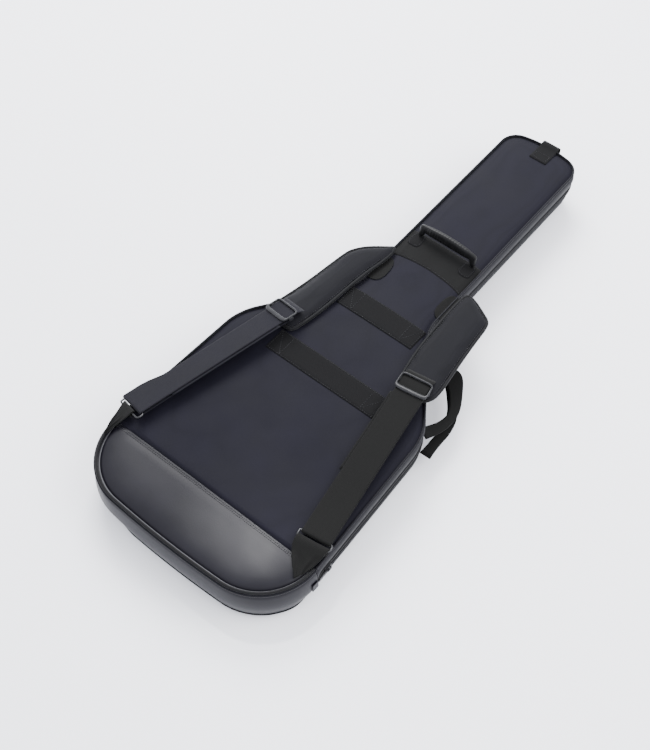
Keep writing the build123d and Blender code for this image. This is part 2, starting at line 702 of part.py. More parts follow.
# Each zip slider: a point on the face of its tape, the way the zip runs, and the way the wall faces.
SLIDERS = {
    "main": (on_side(138, ZIP_HEIGHT, 0), side_run, side_out),
    "body_pocket": (
        on_side(150, POCKET_TAPE_BOTTOM + POCKET_TAPE_WIDTH / 2, TAPE - BODY_POCKET_INSET),
        side_run,
        side_out,
    ),
    "neck_pocket": (
        Vector(NECK_POCKET_HALF + TAPE, from_foot(672), POCKET_TAPE_BOTTOM + POCKET_TAPE_WIDTH / 2),
        Vector(0, 1, 0),
        Vector(1, 0, 0),
    ),
}

for zip_name, (zip_point, zip_run, zip_out) in SLIDERS.items():
    # Local frame of a slider: x along the zip to the head, y up, z out of the wall.
    seat = Plane(zip_point, x_dir=zip_run, z_dir=zip_out)
    bridge_side = Plane(zip_point, x_dir=zip_run, z_dir=zip_run.cross(zip_out))
    slider_top = SLIDER_GAP + SLIDER_HEIGHT
    eye_level = slider_top + BRIDGE_EYE_HEIGHT / 2 + BRIDGE_EYE_LIFT

    with BuildPart() as slider:
        with BuildSketch(seat.offset(SLIDER_GAP)):
            RectangleRounded(SLIDER_LENGTH, SLIDER_WIDTH, SLIDER_ROUND)
        extrude(amount=SLIDER_HEIGHT)
        with BuildSketch(bridge_side):
            with Locations((0, slider_top - BRIDGE_SINK + BRIDGE_HEIGHT / 2)):
                RectangleRounded(BRIDGE_LENGTH, BRIDGE_HEIGHT, BRIDGE_ROUND)
            with Locations((0, eye_level)):
                RectangleRounded(
                    BRIDGE_EYE_LENGTH,
                    BRIDGE_EYE_HEIGHT,
                    BRIDGE_EYE_ROUND,
                    mode=Mode.SUBTRACT,
                )
        extrude(amount=BRIDGE_WIDTH / 2, both=True)
    write(slider, f"{zip_name}_slider")

    # The pull hangs on the bridge by the bar at its end.
    with BuildPart() as pull:
        with BuildSketch(seat.offset(eye_level - PULL_THICKNESS / 2)):
            with Locations((-PULL_LENGTH / 2 + PIN_RADIUS, 0)):
                RectangleRounded(PULL_LENGTH, PULL_WIDTH, PULL_ROUND)
            with Locations((PULL_WINDOW_CENTRE, 0)):
                Rectangle(PULL_WINDOW_LENGTH, PULL_WIDTH - 2 * PULL_ARM, mode=Mode.SUBTRACT)
        extrude(amount=PULL_THICKNESS)
    write(pull, f"{zip_name}_pull")
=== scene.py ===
import math

import bmesh
import bpy
import numpy as np
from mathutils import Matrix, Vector, geometry, noise


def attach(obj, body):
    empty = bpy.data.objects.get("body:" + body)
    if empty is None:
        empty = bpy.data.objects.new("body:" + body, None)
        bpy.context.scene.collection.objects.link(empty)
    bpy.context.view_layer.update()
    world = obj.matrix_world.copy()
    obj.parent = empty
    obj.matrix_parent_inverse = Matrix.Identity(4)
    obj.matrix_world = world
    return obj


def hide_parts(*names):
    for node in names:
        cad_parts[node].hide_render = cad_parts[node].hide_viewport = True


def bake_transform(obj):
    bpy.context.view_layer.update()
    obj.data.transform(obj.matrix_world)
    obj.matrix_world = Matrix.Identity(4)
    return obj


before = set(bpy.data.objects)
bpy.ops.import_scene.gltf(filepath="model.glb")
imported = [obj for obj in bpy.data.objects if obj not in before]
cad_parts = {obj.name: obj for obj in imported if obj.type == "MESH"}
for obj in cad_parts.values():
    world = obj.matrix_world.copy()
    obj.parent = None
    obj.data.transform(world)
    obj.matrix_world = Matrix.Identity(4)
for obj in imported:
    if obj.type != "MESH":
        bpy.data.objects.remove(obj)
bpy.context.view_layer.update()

scene = bpy.context.scene

# Everything below is in millimetres: x across the bag, d from the foot towards the head, z up.
LENGTH = 1045.0
HALF_LENGTH = LENGTH / 2
BOOT_SEAM = 110.0
ZIP_HEIGHT = 46.0
FOOT_HALF_WIDTH = 212.0
FOOT_SAG = 12.0
FOOT_CORNER_RADIUS = 105.0
WAIST_RADIUS = 110.0
NECK_RADIUS = 90.0
NECK_HALF_WIDTH = 76.0
HEAD_RISE = 13.0
HEAD_CORNER_RADIUS = 35.0


def place(points):
    """Points given as (x, d, z) in millimetres, in the frame's metres."""
    placed = np.array(points, float)
    placed[..., 1] -= HALF_LENGTH
    return placed * 0.001


def smooth_step(value):
    t = np.clip(value, 0.0, 1.0)
    return t * t * (3 - 2 * t)


def ripple(x, d, z, size, seed):
    """Smooth noise of the given size in millimetres, between about -1 and 1."""
    return noise.noise(Vector((x / size + seed, d / size, z / size)))


# ---------------------------------------------------------------- materials

def new_material(name, roughness, specular=0.5):
    material = bpy.data.materials.new(name)
    material.use_nodes = True
    tree = material.node_tree
    shader = tree.nodes["Principled BSDF"]
    shader.inputs["Roughness"].default_value = roughness
    shader.inputs["Specular IOR Level"].default_value = specular
    return material, tree, shader


def colour_by(tree, shader, factor, dark, light):
    mix = tree.nodes.new("ShaderNodeMix")
    mix.data_type = "RGBA"
    mix.inputs["A"].default_value = (*dark, 1)
    mix.inputs["B"].default_value = (*light, 1)
    tree.links.new(factor, mix.inputs["Factor"])
    tree.links.new(mix.outputs["Result"], shader.inputs["Base Color"])


def math_node(tree, operation, *values):
    node = tree.nodes.new("ShaderNodeMath")
    node.operation = operation
    for socket, value in zip(node.inputs, values):
        if isinstance(value, (int, float)):
            socket.default_value = value
        else:
            tree.links.new(value, socket)
    return node.outputs[0]


def noise_node(tree, coords, size, detail=3.0):
    node = tree.nodes.new("ShaderNodeTexNoise")
    node.inputs["Scale"].default_value = 1000.0 / size
    node.inputs["Detail"].default_value = detail
    tree.links.new(coords, node.inputs["Vector"])
    return node.outputs["Fac"]


def wave_node(tree, coords, pitch, direction, turn=(0, 0, 0)):
    mapping = tree.nodes.new("ShaderNodeMapping")
    mapping.inputs["Rotation"].default_value = [math.radians(a) for a in turn]
    tree.links.new(coords, mapping.inputs["Vector"])
    node = tree.nodes.new("ShaderNodeTexWave")
    node.bands_direction = direction
    node.inputs["Scale"].default_value = 1000.0 / pitch / 3.18
    node.inputs["Distortion"].default_value = 0.35
    node.inputs["Detail Scale"].default_value = 2.0
    tree.links.new(mapping.outputs[0], node.inputs["Vector"])
    return node.outputs["Fac"]


def bump(tree, shader, height, strength, distance):
    node = tree.nodes.new("ShaderNodeBump")
    node.inputs["Strength"].default_value = strength
    node.inputs["Distance"].default_value = distance * 0.001
    tree.links.new(height, node.inputs["Height"])
    tree.links.new(node.outputs[0], shader.inputs["Normal"])


def object_coords(tree):
    return tree.nodes.new("ShaderNodeTexCoord").outputs["Object"]


def ramp_to(tree, shader, socket, factor, low, high):
    node = tree.nodes.new("ShaderNodeMapRange")
    node.inputs["To Min"].default_value = low
    node.inputs["To Max"].default_value = high
    tree.links.new(factor, node.inputs["Value"])
    tree.links.new(node.outputs[0], shader.inputs[socket])


def fabric(name, dark, light, pitch, depth, roughness, sheen, ribs=None):
    """Woven cloth: crossed threads, or ribs across a webbing, with uneven colour and a soft sheen."""
    material, tree, shader = new_material(name, roughness, 0.07)
    shader.inputs["Sheen Weight"].default_value = sheen
    shader.inputs["Sheen Roughness"].default_value = 0.45
    coords = object_coords(tree)
    if ribs:
        warp = wave_node(tree, coords, pitch * 2.2, ribs)
        weft = wave_node(tree, coords, pitch, "X" if ribs == "Y" else "Y")
        weave = math_node(tree, "MULTIPLY_ADD", warp, 0.7, weft)
    else:
        warp = wave_node(tree, coords, pitch, "DIAGONAL")
        weft = wave_node(tree, coords, pitch, "DIAGONAL", (0, 90, 90))
        weave = math_node(tree, "MAXIMUM", warp, weft)
    patches = noise_node(tree, coords, 70.0, 4.0)
    threads = noise_node(tree, coords, pitch * 3, 2.0)
    tone = math_node(tree, "MULTIPLY", weave, patches)
    tone = math_node(tree, "ADD", tone, math_node(tree, "MULTIPLY", threads, 0.25))
    colour_by(tree, shader, tone, dark, light)
    ramp_to(tree, shader, "Roughness", patches, roughness - 0.08, roughness + 0.1)
    height = math_node(tree, "ADD", weave, math_node(tree, "MULTIPLY", threads, 0.6))
    bump(tree, shader, height, 0.5, depth)
    return material


def leatherette(name, dark, light, roughness):
    """Coated leather-look cloth: pebble grain, faint creases, edges painted lighter, partly as rubbed wear
    and partly as a painted highlight, and hollows a little darker.
    """
    material, tree, shader = new_material(name, roughness, 0.12)
    shader.inputs["Coat Weight"].default_value = 0.03
    shader.inputs["Coat Roughness"].default_value = 0.35
    coords = object_coords(tree)
    grain = tree.nodes.new("ShaderNodeTexVoronoi")
    grain.inputs["Scale"].default_value = 1000.0 / 1.6
    tree.links.new(coords, grain.inputs["Vector"])
    patches = noise_node(tree, coords, 55.0, 5.0)
    creases = noise_node(tree, coords, 14.0, 6.0)
    # Painted highlight and wear: pointiness lightens the colour on edges, partly as rubbed wear and partly as
    # a painted highlight, and darkens it a little in hollows.
    edges = tree.nodes.new("ShaderNodeNewGeometry").outputs["Pointiness"]
    wear_and_highlight = math_node(tree, "MULTIPLY", math_node(tree, "SUBTRACT", edges, 0.5), 1.5)
    tone = math_node(tree, "ADD", patches, wear_and_highlight)
    colour_by(tree, shader, tone, dark, light)
    ramp_to(tree, shader, "Roughness", patches, roughness - 0.06, roughness + 0.08)
    height = math_node(tree, "ADD", grain.outputs["Distance"], math_node(tree, "MULTIPLY", creases, 0.8))
    bump(tree, shader, height, 0.16, 0.25)
    return material


def moulded(name, dark, light, roughness, metal=0.0, grain=0.9):
    """Moulded plastic, rubber or enamelled metal, with fine scuffs; edges painted lighter, partly as rubbed
    wear and partly as a painted highlight, and hollows a little darker.
    """
    material, tree, shader = new_material(name, roughness, 0.16)
    shader.inputs["Metallic"].default_value = metal
    coords = object_coords(tree)
    scuffs = noise_node(tree, coords, 9.0, 6.0)
    # Painted highlight and wear: pointiness lightens the colour on edges, partly as rubbed wear and partly as
    # a painted highlight, and darkens it a little in hollows.
    edges = tree.nodes.new("ShaderNodeNewGeometry").outputs["Pointiness"]
    wear_and_highlight = math_node(tree, "MULTIPLY", math_node(tree, "SUBTRACT", edges, 0.5), 2.5)
    colour_by(tree, shader, math_node(tree, "ADD", scuffs, wear_and_highlight), dark, light)
    ramp_to(tree, shader, "Roughness", scuffs, roughness - 0.06, roughness + 0.1)
    bump(tree, shader, noise_node(tree, coords, grain, 2.0), 0.12, 0.1)
    return material


# Each finish: its dark and light colours, then the maker's own numbers in their order.
FABRICS = {
    "nylon": ((0.0016, 0.0015, 0.0034), (0.0062, 0.0058, 0.0108), 0.9, 0.10, 0.62, 0.04),
    "patch_nylon": ((0.0022, 0.0022, 0.0022), (0.0064, 0.0064, 0.0064), 1.3, 0.14, 0.75, 0.045),
    "gusset_nylon": ((0.002, 0.002, 0.003), (0.0075, 0.0072, 0.0105), 0.9, 0.10, 0.6, 0.05),
    "webbing": ((0.0016, 0.0016, 0.0016), (0.0056, 0.0056, 0.0053), 1.1, 0.18, 0.72, 0.04, "Y"),
    "left_webbing": ((0.002, 0.0019, 0.0032), (0.0072, 0.0069, 0.0105), 1.1, 0.18, 0.7, 0.05, "Y"),
    "band_webbing": ((0.0016, 0.0016, 0.0018), (0.0052, 0.0051, 0.0055), 1.1, 0.18, 0.78, 0.03, "X"),
    "strap_pad": ((0.002, 0.002, 0.0028), (0.0068, 0.0068, 0.009), 0.9, 0.10, 0.68, 0.05),
    "binding": ((0.0022, 0.0022, 0.0026), (0.0078, 0.0078, 0.0088), 0.7, 0.12, 0.55, 0.06),
    "piping": ((0.002, 0.002, 0.003), (0.008, 0.0078, 0.0108), 0.6, 0.10, 0.42, 0.05),
    "lining": ((0.012, 0.012, 0.014), (0.032, 0.032, 0.037), 1.6, 0.3, 0.95, 0.3),
    "zip_tape": ((0.0016, 0.0016, 0.002), (0.005, 0.005, 0.006), 0.6, 0.10, 0.7, 0.03),
    "thread": ((0.005, 0.005, 0.006), (0.015, 0.015, 0.018), 0.4, 0.10, 0.55, 0.1),
}
MOULDINGS = {
    "foam": ((0.06, 0.06, 0.065), (0.1, 0.1, 0.105), 0.9, 0.0, 1.4),
    "zip_coil": ((0.004, 0.004, 0.0045), (0.014, 0.014, 0.015), 0.38),
    "buckle_plastic": ((0.006, 0.006, 0.007), (0.022, 0.022, 0.024), 0.2),
    "handle_rubber": ((0.0012, 0.0012, 0.0014), (0.005, 0.005, 0.0054), 0.4),
    "ring_metal": ((0.012, 0.012, 0.013), (0.05, 0.05, 0.052), 0.28, 1.0),
    "slider_metal": ((0.01, 0.01, 0.011), (0.035, 0.035, 0.038), 0.34, 0.6),
}
MATERIALS = {name: fabric(name, *look) for name, look in FABRICS.items()}
MATERIALS.update({name: moulded(name, *look) for name, look in MOULDINGS.items()})
MATERIALS["boot_leatherette"] = leatherette("boot_leatherette", (0.0026, 0.0024, 0.0041),
                                            (0.0064, 0.0059, 0.0092), 0.36)


# ---------------------------------------------------------------- mesh helpers

def add_object(name, data):
    obj = bpy.data.objects.new(name, data)
    scene.collection.objects.link(obj)
    return obj


def make(name, points, faces, material, body, nodes=(), cut=()):
    """A piece from its points and faces, cut at the boot seam if asked, riding on a body."""
    mesh = bpy.data.meshes.new(name)
    mesh.from_pydata(place(points).tolist(), [], [tuple(int(i) for i in f) for f in faces])
    obj = add_object(name, mesh)
    bm = bmesh.new()
    bm.from_mesh(mesh)
    for cut_d, keep_head in cut:
        cut_at(bm, cut_d, keep_head)
    bmesh.ops.dissolve_degenerate(bm, edges=bm.edges, dist=1e-6)
    bmesh.ops.recalc_face_normals(bm, faces=bm.faces)
    bm.to_mesh(mesh)
    bm.free()
    dress(obj, material)
    for polygon in mesh.polygons:
        polygon.use_smooth = True
    if body:
        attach(obj, body)
    if nodes:
        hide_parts(*nodes)
    return obj


def cut_at(bm, cut_d, keep_head):
    level = (0, (cut_d - HALF_LENGTH) * 0.001, 0)
    geometry_in = bm.verts[:] + bm.edges[:] + bm.faces[:]
    bmesh.ops.bisect_plane(bm, geom=geometry_in, plane_co=level, plane_no=(0, 1, 0),
                           clear_inner=keep_head, clear_outer=not keep_head)
    rim = [e for e in bm.edges if e.is_boundary]
    bmesh.ops.holes_fill(bm, edges=rim)


def dress(obj, material):
    obj.data.materials.clear()
    obj.data.materials.append(MATERIALS[material])


def quads(rows, count, closed_rows=False, closed_count=True):
    faces = []
    for r in range(rows if closed_rows else rows - 1):
        for i in range(count if closed_count else count - 1):
            j = (i + 1) % count
            a = r * count
            b = ((r + 1) % rows) * count
            faces.append((a + i, a + j, b + j, b + i))
    return faces


def arc(cx, cd, radius, start, end):
    """Points about 4 mm apart on an arc, from angle start to end in degrees."""
    count = max(2, int(abs(math.radians(end - start)) * radius / 4.0) + 1)
    angles = np.radians(np.linspace(start, end, count))
    return np.array([cx, cd]) + radius * np.stack([np.cos(angles), np.sin(angles)], 1)


def superellipse(half_a, half_b, power, count):
    """A rounded box of the given half sizes, squarer as power falls."""
    turn = np.linspace(0, 2 * math.pi, count, endpoint=False)
    return np.column_stack([half_a * np.sign(np.cos(turn)) * np.abs(np.cos(turn)) ** power,
                            half_b * np.sign(np.sin(turn)) * np.abs(np.sin(turn)) ** power])


def slab(top, low, rows, columns):
    """Points and faces of a thin sheet between two nets of rows by columns points."""
    faces = quads(rows, columns, closed_count=False)
    shift = rows * columns
    faces += [tuple(shift + i for i in f[::-1]) for f in faces]
    edge = list(range(columns))
    edge += [r * columns + columns - 1 for r in range(1, rows)]
    edge += [(rows - 1) * columns + c for c in range(columns - 2, -1, -1)]
    edge += [r * columns for r in range(rows - 2, 0, -1)]
    faces += [(a, b, b + shift, a + shift) for a, b in zip(edge, edge[1:] + edge[:1])]
    return np.vstack([top, low]), faces


def at_shares(points, shares):
    """Points at the given shares, from 0 to 1, of the way along a list of points."""
    at = np.linspace(0, 1, len(points))
    return np.stack([np.interp(shares, at, points[:, k]) for k in range(points.shape[1])], 1)


def resample(points, step, closed=True):
    points = np.array(points, float)
    loop = np.vstack([points, points[:1]]) if closed else points
    lengths = np.concatenate([[0], np.cumsum(np.linalg.norm(np.diff(loop, axis=0), axis=1))])
    count = max(4, int(round(lengths[-1] / step)))
    at = np.linspace(0, lengths[-1], count, endpoint=not closed)
    return np.stack([np.interp(at, lengths, loop[:, k]) for k in range(loop.shape[1])], 1)


def rounded(points, passes, closed=True):
    """Corner cutting, which turns a few corners into a smooth line."""
    points = np.array(points, float)
    for _ in range(passes):
        after = np.roll(points, -1, 0)
        near = points * 0.75 + after * 0.25
        far = points * 0.25 + after * 0.75
        if closed:
            points = np.stack([near, far], 1).reshape(-1, points.shape[1])
        else:
            inner = np.stack([near[:-1], far[:-1]], 1).reshape(-1, points.shape[1])
            points = np.vstack([points[:1], inner[1:-1], points[-1:]])
    return points


class Plan:
    """A closed outline seen from above, counter-clockwise, with a net of points that fills it."""

    def __init__(self, outline, fill_inset, pitch):
        self.base = np.array(outline, float)
        along = np.roll(self.base, -1, 0) - np.roll(self.base, 1, 0)
        along /= np.linalg.norm(along, axis=1)[:, None]
        self.facing = np.stack([along[:, 1], -along[:, 0]], 1)
        self.count = len(self.base)
        self.fill_inset = fill_inset
        edge = self.base - self.facing * fill_inset
        low, high = edge.min(0), edge.max(0)
        xs = np.arange(low[0], high[0], pitch)
        ds = np.arange(low[1], high[1], pitch * 0.9)
        grid = np.array([(x + (k % 2) * pitch / 2, d) for k, d in enumerate(ds) for x in xs])
        grid = grid[self.inside(grid, edge)]
        if len(grid):
            grid = grid[self.distance(grid, edge) > pitch * 0.55]
        corners = [Vector(p) for p in edge] + [Vector(p) for p in grid]
        loop = [(i, (i + 1) % self.count) for i in range(self.count)]
        made = geometry.delaunay_2d_cdt(corners, loop, [], 1, 1e-6)
        source = [origin[0] if origin else self.closest(point, corners)
                  for point, origin in zip(made[0], made[3])]
        self.inner = grid
        self.faces = [tuple(source[i] for i in f) for f in made[2]]
        self.faces = [f for f in self.faces if len(set(f)) == len(f)]
        self.inner_depth = self.distance(grid, self.base) if len(grid) else np.zeros(0)

    @staticmethod
    def closest(point, corners):
        return min(range(len(corners)), key=lambda i: (corners[i] - point).length_squared)

    @staticmethod
    def distance(points, outline):
        result = np.empty(len(points))
        for start in range(0, len(points), 2000):
            part = points[start:start + 2000]
            gaps = part[:, None, :] - outline[None]
            result[start:start + 2000] = np.sqrt((gaps ** 2).sum(2).min(1))
        return result

    @staticmethod
    def inside(points, outline):
        odd = np.zeros(len(points), bool)
        after = np.roll(outline, -1, 0)
        for (x0, d0), (x1, d1) in zip(outline, after):
            crosses = (d0 > points[:, 1]) != (d1 > points[:, 1])
            slope = (x1 - x0) / (d1 - d0 if d1 != d0 else 1e-9)
            odd ^= crosses & (points[:, 0] < slope * (points[:, 1] - d0) + x0)
        return odd

    def ring(self, inset, z):
        inset = np.broadcast_to(inset(self.base) if callable(inset) else inset, (self.count,))
        flat = self.base - self.facing * inset[:, None]
        height = z(flat, inset) if callable(z) else z
        return np.column_stack([flat, np.broadcast_to(height, (self.count,))])

    def solid(self, rings, first=None, last=None):
        """Points and faces of a closed form through the rings; first and last give each end's heights."""
        parts = [self.ring(inset, z) for inset, z in rings]
        faces = quads(len(parts), self.count, closed_rows=first is None)
        total = len(parts) * self.count
        for start, height in ((0, first), ((len(parts) - 1) * self.count, last)):
            if height is None:
                continue
            z = height(self.inner, self.inner_depth) if callable(height) else height
            parts.append(np.column_stack([self.inner, np.broadcast_to(z, (len(self.inner),))]))
            for face in self.faces:
                faces.append(tuple(start + i if i < self.count else total + i - self.count for i in face))
            total += len(self.inner)
        return np.vstack(parts), faces


def sweep(rows, closed=False):
    """Points and faces of a closed section carried along a path, one row of points at each stop."""
    count = len(rows[0])
    faces = quads(len(rows), count, closed_rows=closed)
    if not closed:
        faces.append(tuple(range(count)))
        faces.append(tuple(range((len(rows) - 1) * count, len(rows) * count)))
    return np.vstack(rows), faces


def directions(path, closed=False):
    if closed:
        along = np.roll(path, -1, 0) - np.roll(path, 1, 0)
    else:
        along = np.gradient(path, axis=0)
    return along / np.linalg.norm(along, axis=1)[:, None]


def web_section(half, thickness, ribs=9):
    """A webbing's section: flat faces with fine ribs along it and rounded selvedges."""
    across = np.linspace(-1, 1, 2 * ribs + 1)
    rib = np.where(np.arange(2 * ribs + 1) % 2, 0.12, 0.0)
    top = np.column_stack([across * (half - thickness * 0.4), thickness / 2 + rib])
    bottom = np.column_stack([-across * (half - thickness * 0.4), -thickness / 2 - rib])
    right = [(half, 0.28 * thickness), (half, -0.28 * thickness)]
    left = [(-half, -0.28 * thickness), (-half, 0.28 * thickness)]
    return np.vstack([top, right, bottom, left])


def ribbon(name, path, across, half, thickness, material, body, nodes=(), ribs=9):
    """A flat band of webbing along a path; across is the band's width direction at each point."""
    path = np.array(path, float)
    across = np.broadcast_to(np.array(across, float), path.shape)
    half = np.broadcast_to(half, (len(path),))
    along = directions(path)
    across = across - along * (across * along).sum(1)[:, None]
    across = across / np.linalg.norm(across, axis=1)[:, None]
    up = np.cross(across, along)

    def at(k):
        section = web_section(half[k], thickness, ribs)
        return path[k] + section[:, :1] * across[k] + section[:, 1:] * up[k]
    points, faces = sweep([at(k) for k in range(len(path))])
    return make(name, points, faces, material, body, nodes)


def tube(name, path, radius, material, body, nodes=(), closed=False, squeeze=1.0, sides=10):
    path = np.array(path, float)
    radius = np.broadcast_to(radius, (len(path),))
    along = directions(path, closed)
    side = np.cross(along, [0.0, 0.0, 1.0])
    side /= np.linalg.norm(side, axis=1)[:, None]
    up = np.cross(side, along)
    turn = np.linspace(0, 2 * math.pi, sides, endpoint=False)

    def at(k):
        return (path[k] + radius[k] * np.outer(np.cos(turn), side[k])
                + radius[k] * squeeze * np.outer(np.sin(turn), up[k]))
    points, faces = sweep([at(k) for k in range(len(path))], closed)
    return make(name, points, faces, material, body, nodes)


STITCH = np.array([(-1, 0, 0), (-0.6, 1, 0), (-0.6, 0, 1), (-0.6, -1, 0), (-0.6, 0, -1),
                   (0.6, 1, 0), (0.6, 0, 1), (0.6, -1, 0), (0.6, 0, -1), (1, 0, 0)])
STITCH_FACES = [(0, 2, 1), (0, 3, 2), (0, 4, 3), (0, 1, 4), (1, 2, 6, 5), (2, 3, 7, 6), (3, 4, 8, 7),
                (4, 1, 5, 8), (9, 5, 6), (9, 6, 7), (9, 7, 8), (9, 8, 5)]


def beads(places, runs, sides, ups, size):
    """Points and faces of many small capsules; size is half length, half width, half height."""
    blocks, faces = [], []
    for k, (centre, run, side, up) in enumerate(zip(places, runs, sides, ups)):
        local = STITCH * size
        blocks.append(centre + local[:, :1] * run + local[:, 1:2] * side + local[:, 2:] * up)
        faces += [tuple(k * len(STITCH) + i for i in f) for f in STITCH_FACES]
    return np.vstack(blocks), faces


def stitching(name, lines, body, pitch=4.2, lift=0.1):
    """Rows of thread along lines of points that lie on a surface."""
    places, runs, sides, ups = [], [], [], []
    for line in lines:
        line = resample(line, pitch, closed=False)
        for a, b in zip(line[:-1], line[1:]):
            run = (b - a) / np.linalg.norm(b - a)
            side = np.cross([0.0, 0.0, 1.0], run)
            side /= max(np.linalg.norm(side), 1e-6)
            places.append((a + b) / 2 + np.array([0, 0, lift]))
            runs.append(run)
            sides.append(side)
            ups.append(np.cross(run, side))
    points, faces = beads(places, runs, sides, ups, (pitch * 0.36, 0.42, 0.38))
    return make(name, points, faces, "thread", body)


# ---------------------------------------------------------------- the bag's outline

FOOT_RADIUS = (FOOT_HALF_WIDTH ** 2 + FOOT_SAG ** 2) / (2 * FOOT_SAG)
HEAD_RADIUS = (NECK_HALF_WIDTH ** 2 + HEAD_RISE ** 2) / (2 * HEAD_RISE)
FOOT_CORNER = np.array([FOOT_HALF_WIDTH, FOOT_SAG])
WAIST = np.array([196.0, 397.0])
NECK_FOOT = np.array([NECK_HALF_WIDTH, 566.0])


def facing_right(a, b):
    along = (b - a) / np.linalg.norm(b - a)
    return np.array([along[1], -along[0]])


def angle_of(direction):
    return math.degrees(math.atan2(direction[1], direction[0]))


def right_half():
    """The right half of the outline, from the middle of the foot to the middle of the head end."""
    side = facing_right(FOOT_CORNER, WAIST)
    shoulder = facing_right(WAIST, NECK_FOOT)
    run = (WAIST - FOOT_CORNER) / np.linalg.norm(WAIST - FOOT_CORNER)
    start = FOOT_CORNER - FOOT_CORNER_RADIUS * side - np.array([0, FOOT_RADIUS])
    along = start @ run
    root = math.sqrt(along ** 2 - start @ start + (FOOT_RADIUS - FOOT_CORNER_RADIUS) ** 2)
    slide = min(root - along, -along - root, key=abs)
    corner = FOOT_CORNER - FOOT_CORNER_RADIUS * side + run * slide
    tangent = angle_of(corner - np.array([0, FOOT_RADIUS]))
    waist = WAIST - WAIST_RADIUS * (side + shoulder) / (1 + side @ shoulder)
    neck_side = np.array([1.0, 0.0])
    neck = NECK_FOOT + NECK_RADIUS * (shoulder + neck_side) / (1 + shoulder @ neck_side)
    head_centre = LENGTH - HEAD_RADIUS
    head_x = NECK_HALF_WIDTH - HEAD_CORNER_RADIUS
    head_rise = math.sqrt((HEAD_RADIUS - HEAD_CORNER_RADIUS) ** 2 - head_x ** 2)
    head = np.array([head_x, head_centre + head_rise])
    head_angle = angle_of(head - np.array([0, head_centre]))
    turn = np.radians(np.linspace(angle_of(shoulder), 0, 16))
    return np.vstack([
        arc(0, FOOT_RADIUS, FOOT_RADIUS, -90, tangent),
        arc(*corner, FOOT_CORNER_RADIUS, tangent, angle_of(side)),
        arc(*waist, WAIST_RADIUS, angle_of(side), angle_of(shoulder)),
        neck - NECK_RADIUS * np.stack([np.cos(turn), np.sin(turn)], 1),
        arc(*head, HEAD_CORNER_RADIUS, 0, head_angle),
        arc(0, head_centre, HEAD_RADIUS, head_angle, 90)])


right_edge = right_half()
apart = np.linalg.norm(np.diff(right_edge, axis=0), axis=1) > 0.01
right_edge = resample(right_edge[np.concatenate([[True], apart])], 4.0, False)
bag = Plan(np.vstack([right_edge, (right_edge * [-1, 1])[::-1][1:-1]]), 30.0, 11.0)


def boot_share(d):
    """1 in the boot, 0 well above its seam."""
    return smooth_step((150.0 - d) / 70.0)


def panel_height(flat, depth):
    """Height of the padded back panel at a distance in from the bag's edge."""
    d = flat[:, 1]
    boot = boot_share(d)
    fall = (3.2 + 3.4 * boot) * np.exp(-np.maximum(depth - 2.5, 0) / (8.0 + 8.0 * boot))
    crown = 1.8 * (1 - np.exp(-depth / 45.0))
    seam = 1.3 * np.exp(-((d - BOOT_SEAM) / 3.0) ** 2)
    lumps = np.array([0.7 * ripple(x, y, 0, 85.0, 3.1) + 0.25 * ripple(x, y, 0, 28.0, 9.7) for x, y in flat])
    boot_edge = smooth_step((BOOT_SEAM + 1.0 - d) / 3.0)
    groove = (0.8 + 1.6 * boot_edge) * np.exp(-((depth - 5.0 - 2.0 * boot_edge) / 1.9) ** 2)
    return 85.6 + crown - fall - seam - groove + lumps * (1 - np.exp(-depth / 10.0))


def panel_at(flat):
    flat = np.array(flat, float).reshape(-1, 2)
    return panel_height(flat, Plan.distance(flat, bag.base))


def on_panel(flat, lift):
    flat = np.array(flat, float).reshape(-1, 2)
    return np.column_stack([flat, panel_at(flat) + lift])


def tuck(flat):
    """How far the lower edge turns in under the bag: most along the neck, not at all across the foot."""
    x, d = flat[:, 0], flat[:, 1]
    left = 10.5 * smooth_step((-70.0 - x) / 70.0)
    right = 6.0 * smooth_step((d - 62.0) / 40.0)
    foot = np.where(x < 0, left, right) + 0.8
    sides = foot + (6.5 - foot) * smooth_step((d - 130.0) / 60.0)
    return sides + 3.0 * smooth_step((d - 530.0) / 80.0)


WALL_SEAMS = (84.0, 57.5, 46.0, 34.5, 12.0)


def wall_outset(z, flat):
    """How far the side wall stands out: rolls between its sewn seams, with the lower edge turned in."""
    boot = smooth_step((126.0 - flat[:, 1]) / 20.0)
    neck = smooth_step((flat[:, 1] - 530.0) / 80.0)
    rolls = -2.2
    for high, low in zip(WALL_SEAMS, WALL_SEAMS[1:]):
        if low < z < high:
            rolls += (3.6 + 0.03 * (high - low)) * math.sin(math.pi * (z - low) / (high - low)) ** 0.6
    bulge = 4.6 * math.sin(math.pi * min(max((z - 12.0) / 63.0, 0), 1)) ** 0.8
    bulge -= 1.6 * math.exp(-((z - 76) / 2.5) ** 2)
    turn = np.clip((40.0 + 7.0 * neck - z) / (27.0 + 7.0 * neck), 0, 1) ** (1.4 - 0.4 * neck)
    return rolls * (1 - boot) + bulge * boot - tuck(flat) * turn


def wall_ring(z, inward=0.0):
    return (lambda flat: inward - wall_outset(z, flat)), z


def wall_band(name, low, high, thickness, material, body, nodes=(), cut=(), proud=0.0, rows=9):
    """A strip of the side wall from one height to another."""
    heights = np.linspace(low, high, rows)
    rings = [wall_ring(z, -proud) for z in heights]
    rings += [wall_ring(z, thickness - proud) for z in heights[::-1]]
    points, faces = bag.solid(rings)
    return make(name, points, faces, material, body, nodes, cut)


LID = [(BOOT_SEAM + 0.4, True)]
FOOT = [(BOOT_SEAM, False)]
EDGE_STEPS = (2.5, 3.4, 4.4, 5.4, 6.6, 8.0, 10.0, 13.0, 17.5, 23.0)


def panel_under(flat, depth):
    return panel_height(flat, depth) - 1.2


